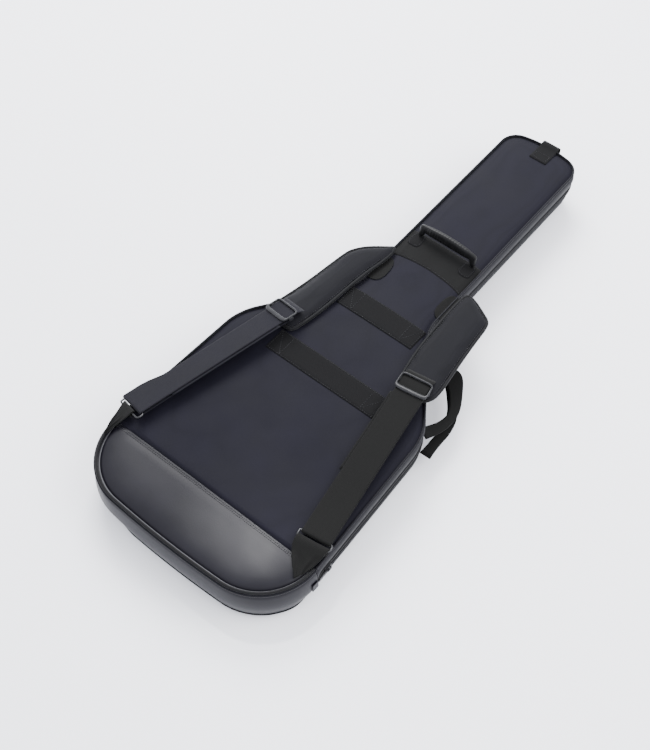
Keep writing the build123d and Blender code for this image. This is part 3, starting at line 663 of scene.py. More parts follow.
panel_rings = [(e, panel_under) for e in (30.0,) + EDGE_STEPS[::-1]]
panel_rings += [(e, panel_height) for e in EDGE_STEPS + (30.0,)]
points, faces = bag.solid(panel_rings, panel_under, panel_height)
lid_panel = make("back_panel_cloth", points, faces, "nylon", "back_shell", ["back_panel"], LID)
boot_panel = make("boot_panel_leatherette", points, faces, "boot_leatherette", "front_shell", ["boot_panel"],
                  FOOT)


def foam_top(flat, depth):
    return panel_height(flat, depth) - 1.4


foam_rings = [(30.0, 74.6), (12.0, 74.6), (9.8, 73.0), (9.8, 60.0), (9.8, 48.6), (8.5, 47.8), (3.5, 47.8)]
foam_rings += [wall_ring(z, 1.9) for z in (48.0, 56.0, 65.0, 74.0)]
foam_rings += [(2.4, 79.0), (4.5, foam_top), (9.5, foam_top), (17.5, foam_top),
               (30.0, foam_top)]
points, faces = bag.solid(foam_rings, 74.6, foam_top)
lid_foam = make("back_foam_padding", points, faces, "foam", "back_shell", ["back_foam"], LID)
boot_foam = make("boot_foam_padding", points, faces, "foam", "front_shell", ["boot_foam"], FOOT)


def lining_rings(low, high, rim, sign):
    """A thin bowl of lining: over the rim, down the inner wall and across the base."""
    base, back = high, high + sign * 0.8
    wall = np.linspace(base - sign * 3, rim + sign * 2.0, 5)
    inner = [(30.0, base), (14.0, base), (11.5, base - sign * 0.8)]
    inner += [(10.6, z) for z in wall] + [(9.6, rim + sign * 0.6), (6.0, rim), (1.9, rim + sign * 0.3)]
    outer = [(1.9, rim + sign * 1.1), (6.0, rim + sign * 0.9), (9.2, rim + sign * 1.5)]
    outer += [(9.8, z) for z in wall[::-1]] + [(11.3, back - sign * 0.6), (14.0, back), (30.0, back)]
    return inner + outer, base, back


rings, base, back = lining_rings(47.0, 73.5, 46.6, 1)
points, faces = bag.solid(rings, base, back)
make("back_lining_cloth", points, faces, "lining", "back_shell", ["back_lining"], LID)
make("boot_lining_cloth", points, faces, "lining", "front_shell", ["boot_lining"], FOOT)

wall_band("back_gusset_cloth", 56.0, 82.6, 1.2, "gusset_nylon", "back_shell", ["back_gusset"], LID)
wall_band("back_zip_tape_cloth", 46.9, 56.2, 0.9, "zip_tape", "back_shell", ["back_zip_tape"], LID, -0.5, 4)
wall_band("front_zip_tape_cloth", 35.8, 45.1, 0.9, "zip_tape", "front_shell", ["front_zip_tape"],
          [(BOOT_SEAM, True)], -0.5, 4)
wall_band("front_gusset_cloth", 14.4, 36.0, 1.2, "gusset_nylon", "front_shell", ["front_gusset"],
          [(BOOT_SEAM, True)])
wall_band("boot_gusset_leatherette", 14.4, 82.4, 1.3, "boot_leatherette", "front_shell", ["boot_gusset"],
          FOOT,
          0.0, 22)

def piping(name, outset, z, radius, body, nodes, cut, material="piping"):
    turn = np.linspace(0, 2 * math.pi, 12, endpoint=False)
    rings = []
    for angle in turn:
        out, up = radius * math.cos(angle), radius * math.sin(angle)
        rings.append(((lambda flat, out=out: -outset(flat) - out), z + up))
    points, faces = bag.solid(rings)
    return make(name, points, faces, material, body, nodes, cut)


def level_outset(flat):
    return -0.5 * smooth_step((flat[:, 1] - BOOT_SEAM) / 40.0)


def edge_inset(flat):
    return -2.6


def tucked_outset(flat):
    return 0.2 - tuck(flat)


piping("back_piping_cord", level_outset, 84.6, 1.9, "back_shell", ["back_piping"], LID)
piping("boot_piping_cord", edge_inset, 84.1, 2.4, "front_shell", ["boot_piping"], FOOT, "binding")
piping("boot_welt", level_outset, 80.4, 2.2, "front_shell", (), FOOT)
piping("front_piping_cord", tucked_outset, 12.6, 2.1, "front_shell", ["front_piping"], ())

# Front shell below the zip.


def tucked(depth):
    return lambda flat: depth + tuck(flat)


front_rings = [(30.0, 13.4)] + [(tucked(e), 13.4) for e in (18.0, 12.0, 7.0, 3.6, 2.2)]
front_rings += [(tucked(e), z) for e, z in ((2.2, 12.2), (3.6, 11.8), (7.0, 11.7), (12.0, 11.7),
                                            (18.0, 11.7))]
points, faces = bag.solid(front_rings + [(30.0, 11.7)], 13.4, 11.7)
make("front_panel_cloth", points, faces, "nylon", "front_shell", ["front_panel"])

front_foam_rings = [(30.0, 22.4), (12.0, 22.4), (9.8, 24.0), (9.8, 34.0), (9.8, 43.6), (8.5, 44.6),
                    (3.5, 44.6)]
front_foam_rings += [wall_ring(z, 1.9) for z in (43.5, 36.0, 27.0, 18.0)]
front_foam_rings += [(tucked(4.0), 14.2), (tucked(10.0), 13.8), (30.0, 13.8)]
points, faces = bag.solid(front_foam_rings, 22.4, 13.8)
front_foam = make("front_foam_padding", points, faces, "foam", "front_shell", ["front_foam"])

rings, base, back = lining_rings(24.0, 23.5, 45.4, -1)
points, faces = bag.solid(rings, base, back)
make("front_lining_cloth", points, faces, "lining", "front_shell", ["front_lining"])

# The fold at the boot's seam, seen from inside when the bag is open.
fold_d = np.concatenate([[98.0, 104.0], np.linspace(108.0, 112.4, 12), [117.0, 123.0]])
fold_x = np.linspace(-186.0, 186.0, 40)
fold_top = np.array([[(x, d, 73.1) for x in fold_x] for d in fold_d]).reshape(-1, 3)
fold_low = fold_top - [0, 0, 0.9]
points, faces = slab(fold_top, fold_low, len(fold_d), len(fold_x))
fold_lining = make("fold_lining_cloth", points, faces, "lining", None)
place((0, 108.0, 73))
place((0, 112.4, 73))
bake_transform(fold_lining)

# Zip coil: one row of teeth on each tape.


def coil(name, z, body, shift):
    line = resample(bag.ring(*wall_ring(z))[:, :2], 2.1)
    ahead = directions(np.column_stack([line, np.zeros(len(line))]), closed=True)
    keep = line[:, 1] > BOOT_SEAM + 2
    places = np.column_stack([line, np.full(len(line), z)]) + ahead * shift
    out = np.cross(ahead, [0.0, 0.0, 1.0])
    up = np.tile([0.0, 0.0, 1.0], (len(line), 1))
    places = places + out * 0.15
    points, faces = beads(places[keep], up[keep], ahead[keep], out[keep], (1.25, 0.62, 0.75))
    return make(name, points, faces, "zip_coil", body)


coil("back_zip_coil", ZIP_HEIGHT + 1.0, "back_shell", 0.0)
coil("front_zip_coil", ZIP_HEIGHT - 1.0, "front_shell", 1.05)

for sign in (-1, 1):
    wall = bag.ring(*wall_ring(ZIP_HEIGHT))
    near = wall[(wall[:, 1] > 96) & (wall[:, 1] < 113) & (wall[:, 0] * sign > 0)]
    near = near[np.argsort(near[:, 1])]
    near = resample(near, 1.5, closed=False)
    out = np.cross(directions(near), [0.0, 0.0, 1.0]) * sign
    near = near + out * 1.1
    side = "right" if sign > 0 else "left"
    ribbon(f"zip_end_tab_{side}", near, (0, 0, 1), 9.6, 1.6, "boot_leatherette", "front_shell",
           ["zip_end_tabs"] if sign > 0 else ())

# ---------------------------------------------------------------- trim on the back panel


def surface_patch(name, rows, lift, thickness, material, body, nodes=()):
    """Cloth laid on the panel: rows of (x, d) points, all rows as long."""
    rows = np.array(rows, float)
    count_r, count_c = rows.shape[:2]
    flat = rows.reshape(-1, 2)
    top = on_panel(flat, lift + thickness)
    low = on_panel(flat, lift)
    border = np.zeros((count_r, count_c), bool)
    border[[0, -1]] = True
    border[:, [0, -1]] = True
    top[border.reshape(-1), 2] -= thickness * 0.45
    points, faces = slab(top, low, count_r, count_c)
    return make(name, points, faces, material, body, nodes)


def fine(start, end, step, margin=1.0):
    """Even steps from start to end, with a close pair at each end for a crisp edge."""
    middle = np.linspace(start + margin, end - margin, max(3, int((end - start) / step)))
    return np.concatenate([[start], middle, [end]])


patch_x = fine(-73.0, 73.0, 6.0)
patch_rows = []
for share in fine(0.0, 1.0, 0.09, 0.016):
    low_edge = 660.0 + 9.0 * (1 - (patch_x / 73.0) ** 2)
    patch_rows.append(np.column_stack([patch_x, low_edge + share * (728.0 - low_edge)]))
surface_patch("neck_patch_cloth", patch_rows, 0.05, 1.0, "patch_nylon", "back_shell", ["neck_patch"])
patch_line = np.column_stack([patch_x[1:-1], 662.6 + 9.0 * (1 - (patch_x[1:-1] / 73.0) ** 2)])
top_line = np.column_stack([patch_x[1:-1], np.full(len(patch_x) - 2, 725.5)])
stitching("neck_patch_stitching", [on_panel(patch_line, 1.1), on_panel(top_line, 1.1)], "back_shell")

BAND_HALF = 22.5
BAND_STITCH = 20.5
for name, centre, reach in (("lower_cross_band", 391.0, 112.0), ("upper_cross_band", 538.0, 78.0)):
    columns = fine(-reach, reach, 6.0)
    band_rows = [np.column_stack([columns, np.full(len(columns), d)])
                 for d in fine(centre - BAND_HALF, centre + BAND_HALF, 6.0)]
    surface_patch(name + "_webbing", band_rows, 0.05, 1.4, "band_webbing", "back_shell", [name])
    low, high = centre - BAND_STITCH, centre + BAND_STITCH
    lines = [np.column_stack([columns[1:-1], np.full(len(columns) - 2, d)]) for d in (low, high)]
    for s in (-1, 1):
        near, far = s * (reach - 3), s * (reach - 28)
        lines.append(resample([(near, low), (near, high), (far, high), (far, low), (near, high)], 4.0, False))
    stitching(name + "_stitching", [on_panel(line, 1.5) for line in lines], "back_shell")

seam_x = np.linspace(-203.0, 203.0, 90)
seam_lines = [np.column_stack([seam_x, np.full(90, d)]) for d in (BOOT_SEAM - 3.4, BOOT_SEAM - 6.6)]
stitching("boot_seam_stitching", [on_panel(line, 0.15) for line in seam_lines], "front_shell", 3.6)

hang_line = rounded([(1002, 0.0), (1016, 0.0), (1030, 0.2), (1040, 2.2), (1047, 3.2), (1054.2, 2.6),
                     (1055.0, -6),
                     (1053, -18), (1048, -25), (1046.4, -28), (1046.2, -35)], 3, closed=False)
hang_path = []
for d, rise in hang_line:
    surface = float(panel_at([(4.5, min(d, 1041.0))])[0]) + 1.0 if d < 1041 else 86.6
    hang_path.append((4.5, d, surface + rise))
hang_path = resample(hang_path, 3.0, closed=False)
hang_path[:, 2] = np.convolve(np.pad(hang_path[:, 2], 2, "edge"), np.ones(5) / 5, "valid")
ribbon("hang_loop_webbing", hang_path, (1, 0, 0), 17.5, 1.6, "band_webbing", "back_shell", ["hang_loop"])
hang_stitch = [[(-9, 1006), (18, 1006)], [(-9, 1006), (-9, 1022)], [(18, 1006), (18, 1022)],
               [(-9, 1022), (18, 1022)]]
stitching("hang_loop_stitching", [on_panel(resample(line, 3.0, False), 1.9) for line in hang_stitch],
          "back_shell")

# ---------------------------------------------------------------- carry handle

HANDLE_D = 722.0
HANDLE_Z = 92.5
HANDLE_SHIFT = 1.5
LEAN = math.radians(13.0)


def handle_point(u, v, t):
    """A point of the handle: u along it, v up its leaning face, t through it towards the head."""
    return (u + HANDLE_SHIFT, HANDLE_D + v * math.sin(LEAN) + t * math.cos(LEAN),
            HANDLE_Z + v * math.cos(LEAN) - t * math.sin(LEAN))


stations = np.concatenate([[-60.0, -59.3, -57.5], np.linspace(-55, 55, 111), [57.5, 59.3, 60.0]])
handle_rows = []
for u in stations:
    high = 26.8 - 6.0 * (u / 60.0) ** 2
    low = 8.0 - 12.0 * float(smooth_step((abs(u) - 46.0) / 7.0))
    end = float(np.clip((60.0 - abs(u)) / 4.0, 0, 1))
    tip = math.sqrt(max(1 - (1 - end) ** 2, 0.0004))
    ribbed = 0.5 * abs(math.sin(math.pi * u / 5.5)) * float(smooth_step((43 - abs(u)) / 4))
    thick = (4.0 + 1.1 * float(smooth_step((46 - abs(u)) / 12)) + ribbed) * tip
    middle, tall = (high + low) / 2, (high - low) / 2 * (0.35 + 0.65 * tip) + ribbed * 0.5
    section = superellipse(thick, tall, 0.62, 24) + [0, middle]
    handle_rows.append(np.array([handle_point(u, v, t) for t, v in section]))
points, faces = sweep(handle_rows)
make("carry_handle_grip", points, faces, "handle_rubber", "carry_handle", ["carry_handle"])

for sign, side in ((-1, "left"), (1, "right")):
    centre = np.array([sign * 54.0, HANDLE_D - 12.0])
    tab = Plan(resample(superellipse(13.0, 15.5, 0.55, 48) + centre, 2.5), 4.0, 3.5)

    def tab_top(flat, depth):
        return panel_at(flat) + 1.1 + 1.5 * (1 - np.exp(-depth / 1.2))

    def tab_low(flat, depth):
        return panel_at(flat) + 0.9
    tab_rings = [(4.0, tab_low), (2.0, tab_low), (0.4, tab_low), (0.0, tab_top), (0.5, tab_top),
                 (1.2, tab_top),
                 (2.4, tab_top), (4.0, tab_top)]
    points, faces = tab.solid(tab_rings, tab_low, tab_top)
    make(f"carry_handle_tab_{side}", points, faces, "band_webbing", "back_shell",
         ["carry_handle_tabs"] if sign > 0 else ())
    edge = tab.ring(2.6, tab_top)
    stitching(f"carry_handle_tab_stitching_{side}", [np.vstack([edge, edge[:1]])], "back_shell", 3.4, 0.05)

# ---------------------------------------------------------------- shoulder straps

BAR_LEVEL = -2.8
STRAPS = {
    "right": {
        "buckle": (133.0, 452.0, 106.0), "ring": (178.5, 148.0, 97.5), "roll": 0.0,
        "pad": [(84, 590), (83, 640), (86, 663), (98, 664), (115, 658), (134, 648), (149, 640), (154, 626),
                (156, 600),
                (160, 558), (166, 510), (171, 474), (168, 452), (156, 438), (112, 438), (100, 455),
                (94, 484), (88, 523)],
        "anchor": [(60, 594), (60, 650), (84, 656), (96, 600)],
        "tail": 190.0, "tail_shift": -4.5,
    },
    "left": {
        "buckle": (-128.0, 433.5, 106.0), "ring": (-194.0, 143.5, 100.0), "roll": 18.0,
        "pad": [(-70, 671), (-80, 663), (-97, 650), (-113, 636), (-126, 619), (-131, 608), (-138, 571),
                (-147, 520),
                (-156, 473), (-166, 436), (-158, 423), (-102, 413), (-93, 422), (-86, 453), (-80, 500),
                (-77, 550),
                (-73, 590), (-66, 630), (-64, 655)],
        "anchor": [(-48, 590), (-50, 650), (-80, 650), (-100, 620), (-92, 596)],
        "tail": 240.0, "tail_shift": 3.4,
    },
}


def counter_clockwise(points):
    points = np.array(points, float)
    after = np.roll(points, -1, 0)
    area = (points[:, 0] * after[:, 1] - after[:, 0] * points[:, 1]).sum()
    return points if area > 0 else points[::-1]


def puff(obj, voxel, pressure, reach):
    """Swells a stuffed piece as cloth over foam, with each point's travel held to reach millimetres."""
    remesh = obj.modifiers.new("voxels", "REMESH")
    remesh.mode = "VOXEL"
    remesh.voxel_size = voxel * 0.001
    remesh.use_smooth_shade = True
    settle(obj)
    rest = np.array([v.co for v in obj.data.vertices])
    cloth = obj.modifiers.new("cloth", "CLOTH")
    cloth.settings.use_pressure = True
    cloth.settings.uniform_pressure_force = pressure
    cloth.settings.effector_weights.gravity = 0
    cloth.settings.quality = 6
    for number in range(1, 21):
        scene.frame_set(number)
    settle(obj)
    moved = np.array([v.co for v in obj.data.vertices])
    travel = moved - rest
    length = np.linalg.norm(travel, axis=1)
    limit = np.minimum(1.0, reach * 0.001 / np.maximum(length, 1e-9))
    final = rest + travel * limit[:, None]
    for vertex, co in zip(obj.data.vertices, final):
        vertex.co = co
    scene.frame_set(1)
    fine_mesh = obj.modifiers.new("fine", "SUBSURF")
    fine_mesh.levels = 1
    fine_mesh.render_levels = 1
    settle(obj)
    for polygon in obj.data.polygons:
        polygon.use_smooth = True


def settle(obj):
    """Applies the modifiers to the mesh."""
    bpy.context.view_layer.update()
    graph = bpy.context.evaluated_depsgraph_get()
    fresh = bpy.data.meshes.new_from_object(obj.evaluated_get(graph))
    materials = list(obj.data.materials)
    obj.modifiers.clear()
    obj.data = fresh
    obj.data.materials.clear()
    for material in materials:
        obj.data.materials.append(material)


def buckle_shape():
    """A tri-glide: a rounded frame over the webbing, a ribbed middle bar under it and two side posts."""
    outer = superellipse(17.0, 28.8, 2.0 / 6.0, 96)
    inner = superellipse(10.9, 26.2, 2.0 / 8.0, 96) + [-2.2, 0]
    section = [(0.0, 0.2), (0.04, 0.62), (0.16, 0.92), (0.36, 1.0), (0.66, 1.0), (0.86, 0.9), (0.98, 0.6),
               (1.0, 0.2), (0.9, 0.0), (0.1, 0.0)]
    rings = []
    for share, high in section:
        flat = outer + (inner - outer) * share
        bow = 0.5 * (np.abs(flat[:, 0]) / 17.5) ** 2
        rings.append(np.column_stack([flat, 1.1 + 3.6 * high + bow * high]))
    parts = [sweep(rings, True)]
    turn = np.linspace(0, 2 * math.pi, 12, endpoint=False)
    bar = []
    for b in np.linspace(-27.5, 27.5, 45):
        rib = 0.25 * abs(math.sin(b * math.pi / 3.2))
        bar.append(np.column_stack([(4.0 + rib) * np.cos(turn), np.full(12, b),
                                    BAR_LEVEL + (1.3 + rib) * np.sin(turn)]))
    parts.append(sweep(bar))
    for s in (-1, 1):
        parts.append(sweep([np.column_stack([5.0 * np.cos(turn), s * 27.6 + 1.6 * np.sin(turn),
                                             np.full(12, c)])
                            for c in np.linspace(-4.0, 2.2, 5)]))
    points, faces, offset = [], [], 0
    for more_points, more_faces in parts:
        points.append(more_points + [2.5, 0, 0])
        faces += [tuple(offset + i for i in f) for f in more_faces]
        offset += len(more_points)
    return np.vstack(points), faces


for side, strap in STRAPS.items():
    start = np.array(strap["buckle"])
    run = np.array(strap["ring"]) - start
    reach = np.linalg.norm(run)
    ex = run / reach
    ey = np.cross([0.0, 0.0, 1.0], ex)
    ey /= np.linalg.norm(ey)
    roll = math.radians(strap["roll"])
    flat_ey, flat_ez = ey, np.cross(ex, ey)
    ey = flat_ey * math.cos(roll) + flat_ez * math.sin(roll)
    ez = flat_ez * math.cos(roll) - flat_ey * math.sin(roll)
    lie = np.array([ex, ey, ez])

    def local(points, start=start, lie=lie):
        return start + np.array(points, float) @ lie

    # Padded strap.
    outline = resample(rounded(counter_clockwise(strap["pad"]), 2), 3.0)
    pad = Plan(outline, 12.0, 7.0)

    def pad_lean(flat, start=start, ez=ez, roll=roll):
        """How far a rolled strap's pad sinks below level, towards the outside and near the buckle."""
        under = start[2] - 5.2 - (ez[0] * (flat[:, 0] - start[0]) + ez[1] * (flat[:, 1] - start[1])) / ez[2]
        near = 1 - smooth_step((flat[:, 1] - 500.0) / 150.0)
        return np.minimum(under - 100.6, 0) * near if roll else 0 * under

    def pad_low(flat, depth):
        edge = 1.6 * np.exp(-depth / 3.0)
        lean = pad_lean(flat)
        level = np.maximum(90.0, panel_at(flat) + 1.2)
        return np.where(lean < 0, np.maximum(90.0 + lean, 82.5), level) + edge

    def pad_top(flat, depth):
        rise = 6.2 * (1 - np.exp(-depth / 6.5)) + 3.4
        wave = np.array([0.7 * ripple(x, d, 7, 46.0, 1.3) for x, d in flat])
        return 90.0 + rise + wave + pad_lean(flat)

    def pad_middle(flat, depth):
        return 93.0 + pad_lean(flat)
    steps = (12.0, 8.0, 5.0, 3.0, 1.5, 0.6)
    pad_rings = [(e, pad_low) for e in steps] + [(0.0, pad_middle)] + [(e, pad_top) for e in steps[::-1]]
    points, faces = pad.solid(pad_rings, pad_low, pad_top)
    pad_piece = make(f"{side}_strap_pad_cloth", points, faces, "strap_pad", "back_shell",
                     [f"{side}_strap_pad"])
    puff(pad_piece, 4.5, 4.0, 1.6)
    rim = pad.ring(2.3, pad_middle)
    tube(f"{side}_strap_pad_binding", rim, 2.8, "binding", "back_shell", closed=True, squeeze=1.2)
    line = pad.ring(6.0, pad_top)
    stitching(f"{side}_strap_pad_stitching", [np.vstack([line, line[:1]])], "back_shell", 4.4, 0.35)

    # The cloth that sews the pad into the neck seam.
    anchor_plan = Plan(resample(rounded(counter_clockwise(strap["anchor"]), 2), 3.0), 4.0, 5.0)

    def anchor_low(flat, depth):
        return panel_at(flat) + 0.3 + 2.0 * smooth_step((np.abs(flat[:, 0]) - 70) / 14)

    def anchor_top(flat, depth):
        return anchor_low(flat, depth) + 1.5
    anchor_rings = [(4.0, anchor_low), (0.4, anchor_low), (0.0, anchor_top), (0.6, anchor_top),
                    (4.0, anchor_top)]
    points, faces = anchor_plan.solid(anchor_rings, anchor_low, anchor_top)
    make(f"{side}_strap_anchor_cloth", points, faces, "webbing", "back_shell", [f"{side}_strap_anchor"])

    # Webbing, through the buckle, round the ring and back underneath.
    turn = np.radians(np.linspace(90, -90, 9))
    path = [(a, 0, c) for a, c in ((-26, -5.5), (-20, -3.0), (-13, -0.6), (-6, 0.5), (0, 0.8), (6, 0.5),
                                   (13, 0.0))]
    path += [(a, 0, 0) for a in np.linspace(22, reach - 4, 22)]
    path += [(reach + 2.8 * math.cos(t), 0, BAR_LEVEL + 2.8 * math.sin(t)) for t in turn]
    path += [(a, 0, 2 * BAR_LEVEL) for a in np.linspace(reach - 4, 22, 22)]
    path += [(14, 0, 2 * BAR_LEVEL), (7, 0, 2 * BAR_LEVEL + 0.2), (2, 0, 2 * BAR_LEVEL + 0.2)]
    cloth = "left_webbing" if side == "left" else "webbing"
    path = np.array(path, float)
    spread = (4.5 if side == "left" else 0.0) * smooth_step((path[:, 0] - reach + 75.0) / 45.0)
    path[:, 1] -= spread
    ribbon(f"{side}_strap_webbing_band", local(path), ey, 25.0 + spread, 1.8, cloth, "back_shell",
           [f"{side}_strap_webbing"], 12)
    tail = [(a, strap["tail_shift"], -2.6) for a in np.linspace(26, strap["tail"], 24)]
    ribbon(f"{side}_strap_tail", local(tail), ey, 25.0, 1.6, cloth, "back_shell", (), 12)

    points, faces = buckle_shape()
    make(f"{side}_triglide_buckle", local(points), faces, "buckle_plastic", f"{side}_triglide",
         [f"{side}_triglide"])

    # Rectangular ring, mostly hidden between the webbing's loop and the anchor tab.
    corners = [(reach, -28.6), (reach, 28.6), (reach + 11.5, 28.6), (reach + 11.5, -28.6)]
    ring_line = rounded(resample(corners, 5.0), 2)
    ring_path = np.column_stack([ring_line, np.full(len(ring_line), BAR_LEVEL)])
    tube(f"{side}_ring_bar", local(ring_path), 1.6, "ring_metal", "back_shell", [f"{side}_ring"],
         closed=True, sides=12)

# ---------------------------------------------------------------- anchor tabs at the boot's corners

TABS = {
    "right": {
        "left_edge": [(153, 126, 90.8), (152.6, 132, 90.8), (152.3, 137.5, 94), (153, 135, 98.0),
                      (154, 124, 96.0),
                      (159, 112, 91.0), (175, 95, 88.0), (192, 79, 86.2)],
        "right_edge": [(207, 134, 90.8), (207.6, 140, 90.8), (208, 146, 94.4), (207.6, 143, 98.4),
                       (207.2, 131, 96.4),
                       (206, 119, 92.0), (203, 106, 88.8), (199.5, 94, 86.6)],
    },
    "left": {
        "left_edge": [(-214, 134, 87.8), (-214.6, 139, 88.0), (-215, 144, 91.0), (-214.6, 141, 94.6),
                      (-213, 130, 92.6),
                      (-211, 117, 89.6), (-208, 100, 88.2), (-203, 84, 87.0)],
        "right_edge": [(-184, 124, 96.6), (-184.6, 130, 97.2), (-185, 135, 100.8), (-184.6, 132, 104.2),
                       (-187, 122, 100.6), (-192, 109, 93.8), (-197, 95, 88.8), (-199.5, 79, 86.6)],
    },
}


def crease(c, t):
    """Folds of a gathered tab: c runs across it and t along it, both from 0 to 1."""
    return math.sin(9 * c + 2.4 * ripple(c * 40, 60 * t, 0, 26, 5)) + 0.7 * math.sin(21 * c + 5 * t)


for side, tab in TABS.items():
    shares = np.linspace(0, 1, 44)
    columns = np.linspace(0, 1, 25)
    left, right = [at_shares(resample(rounded(tab[edge], 2, False), 1.0, False), shares)
                   for edge in ("left_edge", "right_edge")]
    middle = left[:, None] + (right - left)[:, None] * columns[None, :, None]
    facing = np.cross(np.gradient(middle, axis=1), np.gradient(middle, axis=0))
    facing /= np.linalg.norm(facing, axis=2)[..., None]
    folds = np.array([[crease(c, t) for c in columns] for t in shares])
    folds *= (1.1 * smooth_step((shares - 0.42) / 0.3))[:, None]
    middle = middle + facing * folds[..., None] * 0.8
    points, faces = slab((middle + facing * 0.8).reshape(-1, 3), (middle - facing * 0.8).reshape(-1, 3), 44,
                         25)
    piece = make(f"{side}_anchor_tab_cloth", points, faces, "webbing", None)
    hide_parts(f"{side}_anchor_tab")
    place((0, 88.0, 87))
    place((0, 118.0, 87))
    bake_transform(piece)

# ---------------------------------------------------------------- side handle

# Each loop is a band between an outer and an inner edge, as (x, d, z).
LOOPS = {
    "side_handle_back": (
        [(106, 522, 51), (118, 534, 51), (134, 548, 51), (148, 553, 51), (157, 552, 51), (172, 537, 50.7),
         (185, 520, 50.5), (196, 501, 50), (203, 485, 50), (205.5, 471, 50), (205.8, 453, 50.5),
         (201.5, 435, 52),
         (196, 421, 54), (191.5, 410.5, 57), (188, 403.5, 60)],
        [(120, 502, 51), (129, 511, 51), (140, 521, 51), (148, 523, 51), (155, 521, 51), (164, 512, 50.7),
         (172, 503.5, 50.5), (184.5, 486, 50), (188.5, 476, 50), (190, 468, 50), (188, 453.5, 51),
         (184.6, 444, 52.5),
         (181.5, 435, 55), (179, 427, 57.5), (180.5, 421, 59.5)]),
    "side_handle_front": (
        [(104, 518, 41.4), (120, 530, 41.4), (136, 542, 41.2), (150, 544, 41), (168, 530, 40.8),
         (182, 514, 40.4),
         (196, 494, 40), (203, 480, 40), (205, 473, 40), (209.6, 453, 39), (211, 430, 38), (211.2, 413, 37),
         (211.6, 399, 36)],
        [(118, 500, 41.4), (130, 508, 41.4), (140, 519, 41.2), (148, 522, 41), (158, 513, 40.8),
         (172, 497, 40.4),
         (183, 482, 40), (190, 468, 40), (194, 460, 40), (195.4, 441, 39), (193.6, 428, 38), (193.6, 412, 37),
         (194.5, 388, 36)]),
}
for name, edges in LOOPS.items():
    shares = np.linspace(0, 1, 72)
    outer, inner = [at_shares(rounded(edge, 3, False), shares) for edge in edges]
    middle = (outer + inner) / 2
    width = np.linalg.norm(outer - inner, axis=1) / 2
    across = outer - inner
    across[:, 2] -= 2.0 * np.sin(math.pi * shares)
    ribbon(f"{name}_loop", middle, across, width, 2.6, "webbing", name, [name], 6)

# ---------------------------------------------------------------- zip sliders and pulls, in their CAD shapes

for zip_name in ("main", "body_pocket", "neck_pocket"):
    for part in ("slider", "pull"):
        dress(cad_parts[f"{zip_name}_{part}"], "slider_metal")

# ---------------------------------------------------------------- front pockets

body_outline = bag.ring(22.0, 0)[:, :2]
body_outline = body_outline[(body_outline[:, 1] >= 36) & (body_outline[:, 1] <= 549)]
order = np.argsort(np.arctan2(body_outline[:, 1] - 290, body_outline[:, 0]))
body_outline = body_outline[order]
NECK_POCKET = [(-58, 640), (58, 640), (58, 980), (-58, 980)]
pocket_plans = {
    "body_pocket": Plan(resample(rounded(resample(body_outline, 12.0), 1), 6.0), 14.0, 14.0),
    "neck_pocket": Plan(resample(rounded(resample(NECK_POCKET, 20.0), 2), 5.0), 10.0, 12.0),
}
for name, plan in pocket_plans.items():
    def pocket_low(flat, depth):
        dents = np.array([ripple(x, d, 0, 60.0, 4.4) for x, d in flat])
        return 0.1 + 0.5 * (1 + dents) * 0.5

    def pocket_in(flat, depth):
        return pocket_low(flat, depth) + 1.2
    fill = plan.fill_inset
    panel_rings_low = [(fill, pocket_in), (6.0, pocket_in), (3.0, 1.9), (1.4, 2.6), (0.2, 2.4), (0.9, 1.2),
                       (3.0, 0.5),
                       (6.0, pocket_low), (fill, pocket_low)]
    points, faces = plan.solid(panel_rings_low, pocket_in, pocket_low)
    make(f"{name}_panel_cloth", points, faces, "nylon", "front_shell", [f"{name}_panel"])
    wall = [(-0.2, 2.2), (-0.5, 4.0), (-0.6, 6.5), (-0.4, 9.0), (0.0, 11.6), (1.2, 11.6), (0.8, 9.0),
            (0.6, 6.5),
            (0.7, 4.0), (1.0, 2.2)]
    points, faces = plan.solid(wall)
    make(f"{name}_gusset_cloth", points, faces, "gusset_nylon", "front_shell", [f"{name}_gusset"])
    cord = plan.ring(0.2, 2.3)
    tube(f"{name}_piping", cord, 1.2, "piping", "front_shell", closed=True)

for name, plan, low, high in (("body_pocket", pocket_plans["body_pocket"], 130.0, 385.0),
                              ("neck_pocket", pocket_plans["neck_pocket"], 652.0, 968.0)):
    line = plan.ring(-0.9, 6.5)
    line = line[(line[:, 0] > 0) & (line[:, 1] > low) & (line[:, 1] < high)]
    line = line[np.argsort(line[:, 1])]
    ribbon(f"{name}_zip_tape_cloth", line, (0, 0, 1), 4.4, 0.9, "zip_tape", "front_shell",
           [f"{name}_zip_tape"], 4)
    teeth = resample(line, 2.1, False)
    ahead = directions(teeth)
    out = np.cross(ahead, [0.0, 0.0, 1.0])
    up = np.tile([0.0, 0.0, 1.0], (len(teeth), 1))
    points, faces = beads(teeth + out * 0.5, up, ahead, out, (1.6, 0.62, 0.5))
    make(f"{name}_zip_coil", points, faces, "zip_coil", "front_shell")

# ---------------------------------------------------------------- inside the front shell

rest_rows = []
for d in fine(685.0 - 27.5, 685.0 + 27.5, 6.0, 1.5):
    end = min(1.0, (27.5 - abs(d - 685.0)) / 3.0)
    inset = 1.6 * (1 - math.sqrt(max(1 - (1 - end) ** 2, 0)))
    profile = [(-57.6, 24.2), (-57.6, 46), (-55.5, 50.6), (-51, 51.8), (-37, 51.8), (-32.5, 49.5), (-31, 44),
               (-26, 38.6),
               (-14, 36.8), (0, 36.3), (14, 36.8), (26, 38.6), (31, 44), (32.5, 49.5), (37, 51.8),
               (51, 51.8), (55.5, 50.6),
               (57.6, 46), (57.6, 24.2)]
    rest_rows.append(np.array([(x * (1 - inset / 58), d, z - (inset if z > 30 else 0)) for x, z in profile]))
points, faces = sweep(rest_rows)
neck_rest = make("neck_rest_block", points, faces, "lining", "front_shell", ["neck_rest"])

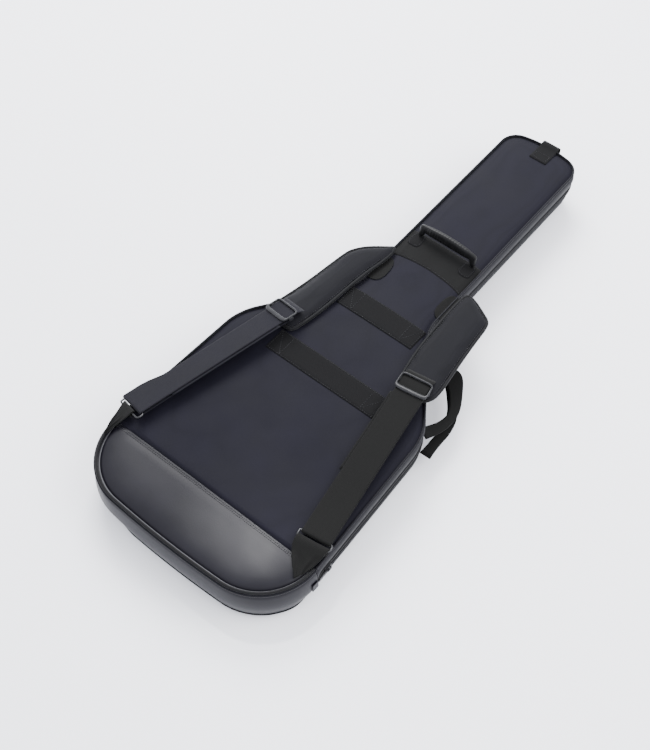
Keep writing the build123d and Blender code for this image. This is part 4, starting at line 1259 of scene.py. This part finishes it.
strap_line = rounded([(-59.3, 685, 30), (-59.3, 685, 47), (-57, 685, 53.2), (-30, 685, 53.4), (0, 685, 53.6),
                      (30, 685, 53.4),
                      (57, 685, 53.2), (59.3, 685, 47), (59.3, 685, 30)], 3, False)
ribbon("neck_strap_webbing", resample(strap_line, 3.0, False), (0, 1, 0), 19.0, 1.8, "webbing", "front_shell",
       ["neck_strap"])

pin_line = bag.ring(11.6, 34.5)
pin_line = pin_line[(np.abs(pin_line[:, 0]) < 55) & (pin_line[:, 1] < 60)]
pin_line = pin_line[np.argsort(pin_line[:, 0])]
ribbon("end_pin_pad_leatherette", resample(pin_line, 4.0, False), (0, 0, 1), 10.6, 1.7, "boot_leatherette",
       "front_shell", ["end_pin_pad"])

# ---------------------------------------------------------------- floor, light and camera

floor_mesh = bpy.data.meshes.new("floor")
floor_mesh.from_pydata([(-6, -6, 0), (6, -6, 0), (6, 6, 0), (-6, 6, 0)], [], [(0, 1, 2, 3)])
floor = add_object("floor", floor_mesh)
floor_material, floor_tree, floor_shader = new_material("floor_paint", 0.7, 0.2)
floor_coords = object_coords(floor_tree)
colour_by(floor_tree, floor_shader, noise_node(floor_tree, floor_coords, 900.0), (0.86, 0.86, 0.9),
          (0.92, 0.92, 0.94))
floor_mesh.materials.append(floor_material)

world = bpy.data.worlds.new("studio")
scene.world = world
world.use_nodes = True
world.node_tree.nodes["Background"].inputs["Color"].default_value = (0.92, 0.94, 1.0, 1)
world.node_tree.nodes["Background"].inputs["Strength"].default_value = 2.6


def aim(obj, position, target):
    obj.location = position
    obj.rotation_euler = (Vector(target) - Vector(position)).to_track_quat("-Z", "Y").to_euler()


def area_light(name, position, target, size, power):
    data = bpy.data.lights.new(name, "AREA")
    data.shape = "RECTANGLE"
    data.size, data.size_y = size
    data.energy = power
    aim(add_object(name, data), position, target)


area_light("key", (-1.6, 1.5, 2.4), (0, -0.1, 0), (1.8, 1.8), 210)
area_light("fill", (1.8, 0.6, 2.2), (0, 0, 0), (2.0, 2.0), 80)
glow_data = bpy.data.lights.new("foot_glow", "SPOT")
glow_data.energy = 150
glow_data.spot_size = math.radians(7.0)
glow_data.spot_blend = 0.8
glow_data.shadow_soft_size = 0.09
aim(add_object("foot_glow", glow_data), (-0.47, 0.145, 1.79), (0.12, -0.436, 0.086))

camera_data = bpy.data.cameras.new("camera")
camera_data.lens = 60.26
camera_data.sensor_width = 36.0
camera = add_object("camera", camera_data)
aim(camera, (0.7183, -1.0178, 1.7945), (-0.03593, -0.09068, 0.0))
scene.camera = camera
